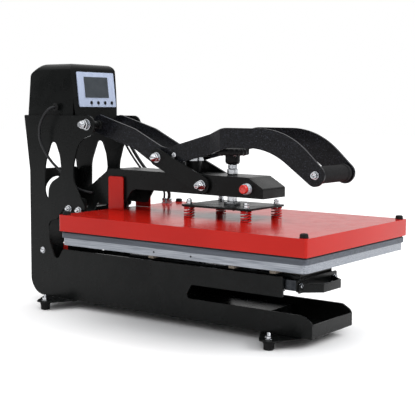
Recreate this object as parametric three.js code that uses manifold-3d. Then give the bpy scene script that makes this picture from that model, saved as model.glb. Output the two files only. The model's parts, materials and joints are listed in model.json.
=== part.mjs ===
// Clamshell heat press with a slide-out lower platen, a toggle handle and an electromagnet hold-down.
// Millimetres, +Z up. The handle side faces -Y, left is -X, and the feet stand on Z = 0.
// Inside the press group Y = 0 is the middle of the platens; the group is then centred on its box.
import * as THREE from 'three';
import { mergeVertices } from 'three/addons/utils/BufferGeometryUtils.js';
import Module from 'manifold-3d';

const wasm = await Module();
wasm.setup();

// ---------------------------------------------------------------- driving dimensions
const seam = 0.3;                 // gap left between pieces that touch
const running = 0.3;              // radial gap of a pin in a hole
const arcSteps = 3;               // half the number of facets in a small piece's rounded corner
const plateArcSteps = 6;          // the same for the large plates

const footHeight = 17;
const footTopRadius = 11.5;
const footBottomRadius = 10;
const footSpread = 44.6;          // from a side plate's face to a foot's middle
const frontFootInset = 69.3;      // from the frame's front edge
const rearFootInset = 92.8;       // from the frame's rear edge
const footBarThickness = 3;
const footBarTip = 14;            // from the foot's centre to the bar's end
const footBarRoot = 48;           // half the bar's width where it meets the frame

const coverWidth = 410;
const coverLength = 610;
const coverHeight = 34.2;
const coverSheet = 1.5;
const heaterInset = 5;            // from the cover's edge to the heating platen's edge
const heaterThickness = 26;
const heaterShowing = 2.9;        // how far the heating platen reaches below the cover
const padOverhangX = 2;           // how far the pad reaches past the platen's sides
const padOverhangY = 2.5;
const padThickness = 10.8;
const lowerPlatenThickness = 15.4;

const frameHalfWidth = 80;        // outer face of a side plate
const plateThickness = 4;
const sheet = 3;                  // folded sheet of the tray, the beam and the drawer
const frameFrontInset = 58;       // from the cover's front edge back to the frame's
const frameRearReach = 141.5;     // from the beam's hinge back to the frame's rear edge
const frameTopRise = 20;          // from the handle's pivot up to the side plate's top edge
const columnSetback = 79;         // from the beam's hinge back to the column's front edge
const railTopZ = 134.7;           // top edge of the side plate's upper rail
const railHeight = 40.2;
const railSetback = 67.7;         // from the frame's front edge back to the upper rail's
const curbTopZ = 64.6;            // top edge of the side plate's lower rail
const trayLipTop = 48;
const trayDeckTop = 48;
const trayDeckSetback = 139;      // from the frame's front edge back to the raised deck
const rearPanelTop = 316;
const windowRadius = 40;

const hingeSetback = 77;          // from the cover's rear edge back to the beam's hinge
const hingeRise = 5.1;            // from the cover's top up to the beam's hinge
const hingeShaftRadius = 8;
const hingeBlockThickness = 8;
const beamHalfWidth = 41.5;
const beamFrontY = -106;
const beamClearance = 46.1;       // from the cover's top to the beam's lower edge
const beamHeight = 42;
const beamRise = 2.6;             // how much higher the beam's top is at its rear end
const beamChamferLength = 37;
const beamChamferBottom = 20.5;   // from the beam's lower edge to the chamfer
const beamBoss = 22;              // radius of the beam's ear round its hinge

const pivotSetback = 35;          // from the cover's rear edge back to the handle's pivot
const pivotRise = 122;            // from the links' foot up to the handle's pivot
const handleElbowY = 164;         // pivot between the handle and the links
const elbowRise = 54;             // from the links' foot up to that pivot
const linkFootY = 43.5;           // pivot between the links and the beam
const linkFootRise = 21;          // from the beam's lower edge up to that pivot
const pinRadius = 6;
const handlePinOverhang = 24;     // how far the pivot bolt reaches past the side plates
const linkPinOverhang = 18;
const linkHalfHeight = 18.5;
const linkThickness = 5;
const linkSideGap = 2;
const armThickness = 5;
const armSideGap = 3.5;           // how far the arms' rear ends sit inside the beam's width
const armSpread = 24;             // how far the arms' front ends step outwards
const armEye = 21;                // radius of the arm's end round its pivot
const armJoggleRearY = 30;
const armJoggleFrontY = -13;
const gripY = -237;
const gripRise = 34;              // from the links' foot up to the grip
const gripRadius = 17;
const gripCollarRadius = 18.5;
const gripCollarLength = 7;

const magnetY = 101;
const magnetRadius = 18;
const magnetRise = 26.5;          // from the beam's top at its front to the magnet's face
const armatureRadius = 22;
const armatureThickness = 8;
const armatureBarDepth = 46;
const armatureBarThickness = 6;

const spindleY = -2;
const spindleRadius = 6;
const bossRadius = 10.5;          // threaded boss welded on top of the beam
const bossHeight = 13;
const lockNutRadius = 9.5;
const lockNutHeight = 9.5;
const hubRadius = 15.5;
const hubHeight = 19;
const knobRadius = 34.5;
const knobThickness = 15;
const sleeveRadius = 10.5;
const sleeveReach = 21;           // how far the sleeve reaches up into the beam
const flangeRadius = 18;
const flangeHeight = 6;

const springPlateWidth = 140;
const springPlateLength = 170;
const springPlateThickness = 4;
const springPlateY = -3.8;
const springHeight = 22.3;
const springInset = 13;
const springRadius = 11.5;
const springBore = 5.5;
const guideTabDepth = 43.5;
const guideTabHeight = 74.3;
const guideTabThickness = 3;
const guideTabGap = 3.5;          // between the beam's side and a guide tab

const boxSideGap = 1;             // between the control box and a side plate
const boxSink = 37;               // how far the box reaches down between the side plates
const boxHeight = 154;
const boxWall = 2.5;
const boxFrontLead = 5.1;         // how far the box's front stands ahead of the beam's hinge
const boxRearOverhang = 12.5;     // how far the box reaches past the frame's rear edge
const faceLean = 0.125;           // how far the front face leans back for each millimetre up
const panelOffsetX = 3;
const panelRise = 96;             // from the box's lower edge to the panel's middle
const panelWidth = 123;
const panelHeight = 80;
const panelThickness = 2;
const panelButtonRadius = 3;
const panelButtonProud = 2.1;
const panelButtonTravel = 1;
const panelButtonPitch = 23;
const panelButtonFirstX = -21.5;  // of the four buttons, from the panel's middle
const panelButtonDrop = 30.5;
const cableHoleSetback = 58.1;    // from the box's front
const cableHoleRise = 55.5;       // from the box's lower edge
const cableBossLength = 8.5;

const stopButtonSetback = 38;     // from the beam's front end
const stopButtonRise = 19;        // from the beam's lower edge
const stopRingRadius = 11;
const stopRingLength = 10;
const stopCapRadius = 9;
const stopCapProud = 7;
const stopCapTravel = 3;

const slideHeight = 26;
const slideDrop = 15.2;           // from the upper rail's top edge to the slide's middle
const slideLength = 450;
const slideDepth = 12.4;
const slideWall = 1.5;
const slideBallGap = 1;           // between the slide's rail and its runner
const drawerFrontSetback = 39;    // from the frame's front edge
const drawerFrontHeight = 24;
const drawerFrontInset = 2;       // from the side plate's outer face
const carriageSideGap = 0.8;
const carriageRise = 19.5;        // from the slide's middle to the carriage's top
const carriageLength = 440;
const supportHeight = 29.4;
const supportDepth = 14;
const supportHalfWidth = 79;
const supportSetback = 53;        // from the drawer's front plate to the front support
const supportSpacing = 310;
const drawerHandleReach = 37;
const drawerHandleHalfFront = 35;
const drawerHandleInset = 16;     // from the front plate's end to the handle's foot
const drawerHandleFlange = 13;
const drawerHandleHeight = 17;

const inletX = -26;
const inletZ = 120;
const inletWidth = 28;
const inletHeight = 22;
const inletDepth = 16;
const inletFlange = 4;
const inletWall = 2.5;
const switchX = 26;
const rockerWidth = 12;
const rockerHeight = 20;
const rockerDepth = 9;

const signalCableRadius = 3;
const heaterCableRadius = 4;

// ---------------------------------------------------------------- worked-out places, from the ground up
const footBarBottom = footHeight + seam;
const frameBottomZ = footBarBottom + footBarThickness + seam;
const slideMiddleZ = railTopZ - slideDrop;
const carriageTopZ = slideMiddleZ + carriageRise;
const lowerPlatenBottom = carriageTopZ + supportHeight + 2 * seam;
const padBottom = lowerPlatenBottom + lowerPlatenThickness + seam;
const heaterBottom = padBottom + padThickness + seam;
const coverBottom = heaterBottom + heaterShowing;
const coverTop = coverBottom + coverHeight;
const hingeZ = coverTop + hingeRise;
const springPlateBottom = coverTop + springHeight + 2 * seam;
const springPlateTop = springPlateBottom + springPlateThickness;
const beamBottomZ = coverTop + beamClearance;
const beamTopZ = beamBottomZ + beamHeight;
const bossTopZ = beamTopZ + bossHeight;
const magnetTopZ = beamTopZ + magnetRise;
const sleeveTopZ = beamBottomZ + sleeveReach;
const linkFootZ = beamBottomZ + linkFootRise;
const handleElbowZ = linkFootZ + elbowRise;
const handlePivotZ = linkFootZ + pivotRise;
const gripZ = linkFootZ + gripRise;
const frameTopZ = handlePivotZ + frameTopRise;
const boxBottomZ = frameTopZ - boxSink;
const boxTopZ = boxBottomZ + boxHeight;
const panelMiddleZ = boxBottomZ + panelRise;
const cableHoleZ = boxBottomZ + cableHoleRise;
const stopButtonZ = beamBottomZ + stopButtonRise;

// From the cover's edges outwards along Y.
const coverRearY = coverLength / 2;
const hingeY = coverRearY + hingeSetback;
const handlePivotY = coverRearY + pivotSetback;
const frameRearY = hingeY + frameRearReach;
const frameFrontY = frameFrontInset - coverRearY;
const railFrontY = frameFrontY + railSetback;
const trayDeckFrontY = frameFrontY + trayDeckSetback;
const drawerFrontY = frameFrontY + drawerFrontSetback;
const frontFootY = frameFrontY + frontFootInset;
const rearFootY = frameRearY - rearFootInset;
const boxFrontY = hingeY - boxFrontLead;
const boxRearY = frameRearY + boxRearOverhang;
const cableHoleY = boxFrontY + cableHoleSetback;
const stopButtonY = beamFrontY + stopButtonSetback;

// From the middle outwards along X.
const plateInnerX = frameHalfWidth - plateThickness;
const innerHalfWidth = plateInnerX - seam;
const footSideX = frameHalfWidth + footSpread;
const boxHalfWidth = plateInnerX - boxSideGap;
const linkInnerX = beamHalfWidth + linkSideGap;
const linkOuterX = linkInnerX + linkThickness;
const armRearOuterX = beamHalfWidth - armSideGap;
const armFrontOuterX = armRearOuterX + armSpread;
const armRearInnerX = armRearOuterX - armThickness;
const armFrontInnerX = armFrontOuterX - armThickness;
const heaterWidth = coverWidth - 2 * heaterInset;
const heaterLength = coverLength - 2 * heaterInset;

// ---------------------------------------------------------------- materials
const finish = (color, roughness, metalness = 0) => () => (
  new THREE.MeshStandardMaterial({ color, roughness, metalness })
);
const blackPaint = finish(0x141516, 0.45);
const redPaint = finish(0xc9241c, 0.35);
const blackPlastic = finish(0x16171a, 0.4);
const blackRubber = finish(0x101010, 0.9);
const greySilicone = finish(0x4a4f58, 0.85);
const bareAluminium = finish(0xc4c8cc, 0.35, 1);
const brightSteel = finish(0xb9bcc0, 0.25, 1);
const darkCoating = finish(0x17181a, 0.6);
const silverPanel = finish(0xb9c6dc, 0.5);
const redPlastic = finish(0xe02a20, 0.3);
const whitePlastic = finish(0xdfe5ea, 0.4);
const insulator = finish(0x83796c, 0.8);

// ---------------------------------------------------------------- solids and booleans
function toSolid(geometry) {
  const bare = geometry.clone();
  bare.deleteAttribute('normal');
  bare.deleteAttribute('uv');
  const merged = mergeVertices(bare, 1e-3);
  const corners = merged.index.array;
  const kept = [];
  for (let i = 0; i < corners.length; i += 3) {
    const [a, b, c] = [corners[i], corners[i + 1], corners[i + 2]];
    if (a !== b && b !== c && a !== c) kept.push(a, b, c);
  }
  return new wasm.Manifold(new wasm.Mesh({
    numProp: 3,
    vertProperties: new Float32Array(merged.attributes.position.array),
    triVerts: new Uint32Array(kept),
  }));
}

function toGeometry(solid) {
  const mesh = solid.getMesh();
  const geometry = new THREE.BufferGeometry();
  geometry.setAttribute('position', new THREE.BufferAttribute(new Float32Array(mesh.vertProperties), 3));
  geometry.setIndex(new THREE.BufferAttribute(new Uint32Array(mesh.triVerts), 1));
  geometry.computeVertexNormals();
  return geometry;
}

function fuse(...geometries) {
  return toGeometry(geometries.map(toSolid).reduce((whole, next) => whole.add(next)));
}

function cut(geometry, ...tools) {
  return toGeometry(tools.map(toSolid).reduce((whole, tool) => whole.subtract(tool), toSolid(geometry)));
}

function common(first, second) {
  return toGeometry(toSolid(first).intersect(toSolid(second)));
}

// ---------------------------------------------------------------- outlines and plates
// A closed outline through corners [u, v, radius]; each corner is rounded by its own radius.
function outline(corners) {
  const shape = new THREE.Shape();
  corners.forEach(([u, v, radius = 0], i) => {
    const here = new THREE.Vector2(u, v);
    const before = new THREE.Vector2(...corners.at(i - 1).slice(0, 2)).sub(here);
    const after = new THREE.Vector2(...corners[(i + 1) % corners.length].slice(0, 2)).sub(here);
    const place = i === 0 ? 'moveTo' : 'lineTo';
    if (radius === 0) {
      shape[place](u, v);
      return;
    }
    const halfAngle = Math.acos(before.dot(after) / (before.length() * after.length())) / 2;
    const reach = Math.min(radius / Math.tan(halfAngle), before.length() * 0.49, after.length() * 0.49);
    const arcRadius = reach * Math.tan(halfAngle);
    const start = before.clone().setLength(reach).add(here);
    const end = after.clone().setLength(reach).add(here);
    const inward = before.clone().normalize().add(after.clone().normalize());
    const centre = inward.setLength(arcRadius / Math.sin(halfAngle)).add(here);
    shape[place](start.x, start.y);
    const from = start.sub(centre).angle();
    const to = end.sub(centre).angle();
    shape.absarc(centre.x, centre.y, arcRadius, from, to, before.cross(after) > 0);
  });
  shape.closePath();
  return shape;
}

const X = new THREE.Vector3(1, 0, 0);
const Y = new THREE.Vector3(0, 1, 0);
const Z = new THREE.Vector3(0, 0, 1);

function extrude(shape, depth, steps = arcSteps) {
  return new THREE.ExtrudeGeometry(shape, { depth, bevelEnabled: false, curveSegments: steps });
}

// Plates: corners are (y, z) between two x values, (x, z) between two y values,
// or (x, y) between two z values.
function plateX(corners, fromX, toX, steps = arcSteps) {
  const basis = new THREE.Matrix4().makeBasis(Y, Z, X);
  return extrude(outline(corners), toX - fromX, steps).applyMatrix4(basis).translate(fromX, 0, 0);
}

function plateY(corners, fromY, toY) {
  const basis = new THREE.Matrix4().makeBasis(X, Z, Y.clone().negate());
  return extrude(outline(corners), toY - fromY).applyMatrix4(basis).translate(0, toY, 0);
}

function plateZ(corners, fromZ, toZ) {
  return extrude(outline(corners), toZ - fromZ).translate(0, 0, fromZ);
}

function block(fromX, toX, fromY, toY, fromZ, toZ) {
  const box = new THREE.BoxGeometry(toX - fromX, toY - fromY, toZ - fromZ);
  return box.translate((fromX + toX) / 2, (fromY + toY) / 2, (fromZ + toZ) / 2);
}

function rectangle(halfU, halfV, radius, middleU = 0, middleV = 0) {
  return [[-1, -1], [1, -1], [1, 1], [-1, 1]]
    .map(([u, v]) => [middleU + u * halfU, middleV + v * halfV, radius]);
}

function rodX(radius, fromX, toX, y, z, sides = 24) {
  const rod = new THREE.CylinderGeometry(radius, radius, toX - fromX, sides);
  return rod.rotateZ(Math.PI / 2).translate((fromX + toX) / 2, y, z);
}

function rodZ(radius, fromZ, toZ, x, y, sides = 24) {
  const rod = new THREE.CylinderGeometry(radius, radius, toZ - fromZ, sides);
  return rod.rotateX(Math.PI / 2).translate(x, y, (fromZ + toZ) / 2);
}

function rodY(radius, fromY, toY, x, z, sides = 32) {
  return new THREE.CylinderGeometry(radius, radius, toY - fromY, sides).translate(x, (fromY + toY) / 2, z);
}

// A turned piece about the Z axis from a closed profile of [radius, height].
function turned(profile, sides = 32) {
  const points = [...profile, profile[0]].map(([radius, height]) => new THREE.Vector2(radius, height));
  return new THREE.LatheGeometry(points, sides).rotateX(Math.PI / 2);
}

// The two square corners that close a strap round its end pivot.
function strapEnd([y, z], [awayY, awayZ], radius) {
  const along = new THREE.Vector2(awayY, awayZ).setLength(radius);
  return [
    [y + along.x - along.y, z + along.y + along.x, radius * 0.99],
    [y + along.x + along.y, z + along.y - along.x, radius * 0.99],
  ];
}

function tube(points, radius, sides = 10) {
  const route = new THREE.CatmullRomCurve3(points.map((p) => new THREE.Vector3(...p)), false, 'centripetal');
  const ring = new THREE.Shape();
  for (let i = 0; i < sides; i += 1) {
    const angle = (i / sides) * 2 * Math.PI;
    ring[i === 0 ? 'moveTo' : 'lineTo'](radius * Math.cos(angle), radius * Math.sin(angle));
  }
  ring.closePath();
  const steps = Math.min(80, Math.ceil(route.getLength() / (radius * 4)));
  return new THREE.ExtrudeGeometry(ring, { steps, extrudePath: route, bevelEnabled: false });
}

// ---------------------------------------------------------------- base frame
// The side plate goes round from its front lower corner: along the floor, up the rear edge, over the
// pivot's lobe, down the column with the hinge's lobe, and forward along the two rails.
function sidePlateCorners() {
  const columnFrontY = hingeY + columnSetback;
  const railBottomZ = railTopZ - railHeight;
  return [
    [frameFrontY, frameBottomZ, 2],
    [frameRearY, frameBottomZ, 42],
    [frameRearY, hingeZ + 74, 60],
    [frameRearY + 17.5, frameTopZ, 3],
    [handlePivotY - 22, frameTopZ, 20],
    [handlePivotY - 22, handlePivotZ - 20, 20],
    [handlePivotY + 26, handlePivotZ - 36, 60],
    [hingeY + 1, hingeZ + 92, 80],
    [hingeY + 2, hingeZ + 50, 80],
    [hingeY - 28, hingeZ + 10, 30],
    [hingeY - 39, hingeZ - 8, 14],
    [hingeY + 34, hingeZ - 10, 6],
    [hingeY + 54, hingeZ - 34, 14],
    [columnFrontY + 3, hingeZ - 42, 16],
    [columnFrontY, railTopZ + 15.3, 60],
    [columnFrontY - 21, railTopZ - 34.7, 12],
    [columnFrontY - 43, railTopZ, 10],
    [railFrontY, railTopZ, 2],
    [railFrontY, railBottomZ, 2],
    [frameFrontY + 291, railBottomZ, 4],
    [frameFrontY + 309, curbTopZ, 8],
    [frameFrontY + 21, curbTopZ, 20],
    [frameFrontY, curbTopZ - 12.6, 14],
  ];
}

function ovalCorners() {
  const columnFrontY = hingeY + columnSetback;
  return [
    [columnFrontY - 15, handlePivotZ - 24, 14],
    [columnFrontY + 13, hingeZ + 92, 70],
    [columnFrontY + 14, hingeZ + 24, 60],
    [columnFrontY + 3, hingeZ + 6, 8],
    [columnFrontY + 1, hingeZ + 46, 40],
    [columnFrontY - 42, hingeZ + 68, 24],
    [columnFrontY - 36, hingeZ + 112, 60],
  ];
}

function sidePlate(fromX, toX) {
  const plate = plateX(sidePlateCorners(), fromX, toX, plateArcSteps);
  const oval = plateX(ovalCorners(), fromX - 1, toX + 1, plateArcSteps);
  const pivotHole = rodX(pinRadius + running, fromX - 1, toX + 1, handlePivotY, handlePivotZ);
  return cut(plate, oval, pivotHole);
}

function baseTray() {
  const rearY = frameRearY - 12;
  const corners = [
    [frameFrontY + 0.2, frameBottomZ, 2],
    [trayDeckFrontY + sheet, frameBottomZ],
    [trayDeckFrontY + sheet, trayDeckTop - sheet],
    [rearY, trayDeckTop - sheet],
    [rearY, trayDeckTop],
    [trayDeckFrontY, trayDeckTop],
    [trayDeckFrontY, frameBottomZ + sheet],
    [frameFrontY + 0.2 + sheet, frameBottomZ + sheet],
    [frameFrontY + 0.2 + sheet, trayLipTop],
    [frameFrontY + 0.2, trayLipTop],
  ];
  return plateX(corners, -innerHalfWidth, innerHalfWidth);
}

const rearPanelInnerY = frameRearY - 8;
const rearPanelOuterY = rearPanelInnerY + sheet;

function rearPanel() {
  const bottomZ = trayDeckTop + seam + 12;
  const middleZ = (bottomZ + rearPanelTop) / 2;
  const panel = plateY(
    rectangle(innerHalfWidth, (rearPanelTop - bottomZ) / 2, 14, 0, middleZ),
    rearPanelInnerY,
    rearPanelOuterY,
  );
  const window = rodY(windowRadius, rearPanelInnerY - 1, rearPanelOuterY + 1, 0, hingeZ + 17, 48);
  const inletHole = block(
    inletX - inletWidth / 2 - seam,
    inletX + inletWidth / 2 + seam,
    rearPanelInnerY - 1,
    rearPanelOuterY + 1,
    inletZ - inletHeight / 2 - seam,
    inletZ + inletHeight / 2 + seam,
  );
  const rockerHole = block(
    switchX - rockerWidth / 2 - 1,
    switchX + rockerWidth / 2 + 1,
    rearPanelInnerY - 1,
    rearPanelOuterY + 1,
    inletZ - rockerHeight / 2 - 2,
    inletZ + rockerHeight / 2 + 2,
  );
  return cut(panel, window, inletHole, rockerHole);
}

function footBar(footY) {
  const tipX = footSideX + footBarTip;
  const corners = [];
  for (const side of [-1, 1]) {
    corners.push(
      [side * tipX, footY + side * footBarTip, 9],
      [side * tipX, footY - side * footBarTip, 9],
      [side * frameHalfWidth, footY - side * footBarRoot, 6],
    );
    corners.push([-side * frameHalfWidth, footY - side * footBarRoot, 6]);
  }
  return plateZ(corners, footBarBottom, footBarBottom + footBarThickness);
}

function foot() {
  return turned([
    [0, 0],
    [footBottomRadius, 0],
    [footTopRadius, footHeight - 4],
    [footTopRadius, footHeight],
    [0, footHeight],
  ], 28);
}

function hingeBlock(fromX, toX) {
  const plate = plateX(rectangle(30, 18, 10, hingeY, hingeZ), fromX, toX);
  return cut(plate, rodX(hingeShaftRadius + seam, fromX - 1, toX + 1, hingeY, hingeZ));
}

function powerInlet() {
  const insideY = rearPanelOuterY - inletDepth;
  const lipY = rearPanelOuterY + seam;
  const body = block(
    inletX - inletWidth / 2,
    inletX + inletWidth / 2,
    insideY,
    lipY + 1,
    inletZ - inletHeight / 2,
    inletZ + inletHeight / 2,
  );
  const lip = plateY(
    rectangle(inletWidth / 2 + inletFlange, inletHeight / 2 + inletFlange, 3, inletX, inletZ),
    lipY,
    lipY + 2.5,
  );
  const socket = block(
    inletX - inletWidth / 2 + inletWall,
    inletX + inletWidth / 2 - inletWall,
    insideY + inletWall,
    lipY + 6,
    inletZ - inletHeight / 2 + inletWall,
    inletZ + inletHeight / 2 - inletWall,
  );
  return cut(fuse(body, lip), socket);
}

function rocker() {
  const outerY = rearPanelOuterY + 3;
  const corners = [
    [outerY - rockerDepth, inletZ - rockerHeight / 2 + 2],
    [outerY - 1, inletZ - rockerHeight / 2, 1],
    [outerY - 2.5, inletZ, 6],
    [outerY + 1.2, inletZ + rockerHeight / 2, 1],
    [outerY - rockerDepth, inletZ + rockerHeight / 2 - 2],
  ];
  return plateX(corners, switchX - rockerWidth / 2, switchX + rockerWidth / 2);
}

// ---------------------------------------------------------------- control box
function boxSideCorners(inset) {
  return [
    [boxFrontY + inset, boxBottomZ - (inset > 0 ? 5 : 0)],
    [boxRearY - inset, boxBottomZ - (inset > 0 ? 5 : 0)],
    [boxRearY - 13 - inset, boxTopZ - 23 - inset, 12],
    [boxRearY - 48, boxTopZ - inset, 22],
    [boxFrontY + (boxTopZ - boxBottomZ) * faceLean + inset, boxTopZ - inset, 14],
  ];
}

function controlBox() {
  const skin = (inset) => common(
    plateX(boxSideCorners(inset), -boxHalfWidth - 1, boxHalfWidth + 1, plateArcSteps),
    plateY([
      [-boxHalfWidth + inset, boxBottomZ - 10],
      [boxHalfWidth - inset, boxBottomZ - 10],
      [boxHalfWidth - inset, boxTopZ - inset, 18],
      [-boxHalfWidth + inset, boxTopZ - inset, 18],
    ], boxFrontY - 50, boxRearY + 50),
  );
  const rounded = plateZ(
    rectangle(boxHalfWidth, (boxRearY - boxFrontY) / 2 + 12, 22, 0, (boxRearY + boxFrontY) / 2 + 12),
    boxBottomZ - 20,
    boxTopZ + 20,
  );
  const shell = cut(common(skin(0), rounded), skin(boxWall));
  const boss = (side) => rodX(
    heaterCableRadius + 3,
    side > 0 ? boxHalfWidth - boxWall : -boxHalfWidth - cableBossLength,
    side > 0 ? boxHalfWidth + cableBossLength : -boxHalfWidth + boxWall,
    cableHoleY,
    cableHoleZ,
    20,
  );
  return fuse(shell, boss(-1), boss(1));
}

// The front face carries a group whose +Z points out of the face and +Y up along it.
function facePlace() {
  const place = new THREE.Group();
  place.position.set(panelOffsetX, boxFrontY + (panelMiddleZ - boxBottomZ) * faceLean, panelMiddleZ);
  place.rotation.x = Math.PI / 2 - Math.atan(faceLean);
  return place;
}

const panelButtonXs = [0, 1, 2, 3].map((i) => panelButtonFirstX + i * panelButtonPitch);

function controlPanel() {
  const plate = plateZ(rectangle(panelWidth / 2, panelHeight / 2, 3), seam, seam + panelThickness);
  const holes = panelButtonXs.map((x) => (
    rodZ(panelButtonRadius + running, 0, seam + panelThickness + 1, x, -panelButtonDrop, 20)
  ));
  return cut(plate, ...holes);
}

function panelButton(x) {
  const bottom = seam + panelButtonTravel + 0.1;
  return rodZ(panelButtonRadius, bottom, seam + panelThickness + panelButtonProud, x, -panelButtonDrop, 20);
}

// ---------------------------------------------------------------- drawer with the lower platen
const slideOuterX = innerHalfWidth;
const slideInnerX = slideOuterX - slideDepth;
const carriageHalfWidth = slideInnerX - carriageSideGap;
const drawerFrontHalfWidth = frameHalfWidth - drawerFrontInset;
const slideRearY = railFrontY + slideLength;

function slideRail(side) {
  const half = slideHeight / 2;
  const back = slideOuterX;
  const open = slideOuterX - slideDepth / 2;
  const corners = [
    [back, slideMiddleZ - half],
    [back, slideMiddleZ + half],
    [open, slideMiddleZ + half],
    [open, slideMiddleZ + half - slideWall],
    [back - slideWall, slideMiddleZ + half - slideWall],
    [back - slideWall, slideMiddleZ - half + slideWall],
    [open, slideMiddleZ - half + slideWall],
    [open, slideMiddleZ - half],
  ].map(([x, z]) => [side * x, z]);
  return plateY(corners, railFrontY, slideRearY);
}

function slideRunner(side) {
  const half = slideHeight / 2 - slideWall - slideBallGap;
  const outside = slideOuterX - slideWall - slideBallGap;
  const corners = [
    [outside, slideMiddleZ - half],
    [outside, slideMiddleZ + half],
    [slideInnerX, slideMiddleZ + half],
    [slideInnerX, slideMiddleZ - half],
  ].map(([x, z]) => [side * x, z]);
  return plateY(corners, drawerFrontY + seam, drawerFrontY + seam + slideLength);
}

function carriage() {
  const frontY = drawerFrontY + seam;
  const wallBottom = slideMiddleZ - slideHeight / 2 + 2;
  const corners = [
    [-carriageHalfWidth, wallBottom],
    [-carriageHalfWidth + sheet, wallBottom],
    [-carriageHalfWidth + sheet, carriageTopZ - sheet],
    [carriageHalfWidth - sheet, carriageTopZ - sheet],
    [carriageHalfWidth - sheet, wallBottom],
    [carriageHalfWidth, wallBottom],
    [carriageHalfWidth, carriageTopZ, 3],
    [-carriageHalfWidth, carriageTopZ, 3],
  ];
  return plateY(corners, frontY, frontY + carriageLength);
}

function drawerFront() {
  const bottomZ = slideMiddleZ - drawerFrontHeight / 2;
  return plateY(
    rectangle(drawerFrontHalfWidth, drawerFrontHeight / 2, 4, 0, bottomZ + drawerFrontHeight / 2),
    drawerFrontY - sheet,
    drawerFrontY,
  );
}

function drawerHandle() {
  const rearY = drawerFrontY - sheet - seam;
  const frontY = drawerFrontY - drawerHandleReach;
  const halfRear = drawerFrontHalfWidth - drawerHandleInset;
  const flangeX = halfRear + drawerHandleFlange;
  const outer = [
    [-flangeX, rearY],
    [-flangeX, rearY - sheet],
    [-halfRear, rearY - sheet],
    [-drawerHandleHalfFront, frontY, 4],
    [drawerHandleHalfFront, frontY, 4],
    [halfRear, rearY - sheet],
    [flangeX, rearY - sheet],
    [flangeX, rearY],
    [halfRear - sheet / 2, rearY],
    [drawerHandleHalfFront - sheet / 2, frontY + sheet, 2],
    [-drawerHandleHalfFront + sheet / 2, frontY + sheet, 2],
    [-halfRear + sheet / 2, rearY],
  ];
  const bottomZ = slideMiddleZ - drawerFrontHeight / 2 - 2;
  return plateZ(outer, bottomZ, bottomZ + drawerHandleHeight);
}

function platenSupport(middleY) {
  return block(
    -supportHalfWidth,
    supportHalfWidth,
    middleY - supportDepth / 2,
    middleY + supportDepth / 2,
    carriageTopZ + seam,
    lowerPlatenBottom - seam,
  );
}

function lowerPlaten() {
  const top = lowerPlatenBottom + lowerPlatenThickness;
  return plateZ(rectangle(heaterWidth / 2, heaterLength / 2, 12), lowerPlatenBottom, top);
}

function siliconePad() {
  const half = [heaterWidth / 2 + padOverhangX, heaterLength / 2 + padOverhangY];
  return plateZ(rectangle(...half, 10), padBottom, padBottom + padThickness);
}

// ---------------------------------------------------------------- upper beam
const chamferRearY = beamFrontY + beamChamferLength;
const crestY = hingeY - 74;

// The beam's outline over its top, from the lower front corner to the slope behind the crest.
function beamCorners(inset) {
  return [
    [beamFrontY + inset, beamBottomZ - inset * 4],
    [beamFrontY + inset, beamBottomZ + beamChamferBottom - inset / 3, 5],
    [chamferRearY, beamTopZ - inset, 5],
    [crestY, beamTopZ + beamRise - inset, 14],
    [hingeY - 26 - inset / 2, hingeZ + 51 - inset, 14],
  ];
}

function beam() {
  const ear = beamBoss;
  const haunchZ = hingeZ + 6;
  const side = plateX([
    ...beamCorners(0),
    [hingeY + ear, hingeZ + ear, ear * 0.99],
    [hingeY + ear, hingeZ - ear, ear * 0.99],
    [hingeY - ear, hingeZ - ear, ear * 0.99],
    [hingeY - ear - 14, haunchZ, 12],
    [hingeY - 118, haunchZ, 14],
    [hingeY - 142, beamBottomZ + 2.5, 24],
  ], -beamHalfWidth, beamHalfWidth, plateArcSteps);
  const hollow = plateX([
    ...beamCorners(sheet),
    [hingeY + ear + 20, hingeZ + 24],
    [hingeY + ear + 20, hingeZ - 48],
    [beamFrontY + sheet, hingeZ - 48],
  ], -beamHalfWidth + sheet, beamHalfWidth - sheet);
  const channel = cut(side, hollow);
  const boss = rodZ(bossRadius, beamTopZ - 1, bossTopZ, 0, spindleY, 28);
  return cut(
    fuse(channel, boss),
    rodX(hingeShaftRadius + seam, -beamHalfWidth - 1, beamHalfWidth + 1, hingeY, hingeZ),
    rodX(pinRadius + running, -beamHalfWidth - 1, beamHalfWidth + 1, linkFootY, linkFootZ),
    rodZ(spindleRadius + running, beamTopZ - 20, bossTopZ + 1, 0, spindleY),
  );
}

function beamTopAt(y) {
  return beamTopZ + beamRise * (y - chamferRearY) / (crestY - chamferRearY);
}

function magnet() {
  return rodZ(magnetRadius, beamTopAt(magnetY) + 0.6, magnetTopZ, 0, magnetY, 36);
}

function stopButtonRing() {
  const outerX = -beamHalfWidth - seam;
  const ring = rodX(stopRingRadius, outerX - stopRingLength, outerX, stopButtonY, stopButtonZ, 32);
  const boreRadius = stopCapRadius + running;
  const bore = rodX(boreRadius, outerX - stopRingLength - 1, outerX - 1.5, stopButtonY, stopButtonZ, 32);
  return cut(ring, bore);
}

function stopButtonCap() {
  const face = -beamHalfWidth - seam - stopRingLength;
  const inner = -beamHalfWidth - seam - 1.5 - stopCapTravel - seam;
  return rodX(stopCapRadius, face - stopCapProud, inner, stopButtonY, stopButtonZ, 32);
}

function knob() {
  const hubBottom = bossTopZ + seam + lockNutHeight + seam;
  const discBottom = hubBottom + hubHeight;
  const bore = spindleRadius + running;
  return turned([
    [bore, hubBottom],
    [hubRadius - 4, hubBottom],
    [hubRadius, hubBottom + 5],
    [hubRadius, discBottom],
    [knobRadius - 3, discBottom],
    [knobRadius, discBottom + 3],
    [knobRadius, discBottom + knobThickness - 3],
    [knobRadius - 3, discBottom + knobThickness],
    [bore, discBottom + knobThickness],
  ], 36).translate(0, spindleY, 0);
}

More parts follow.
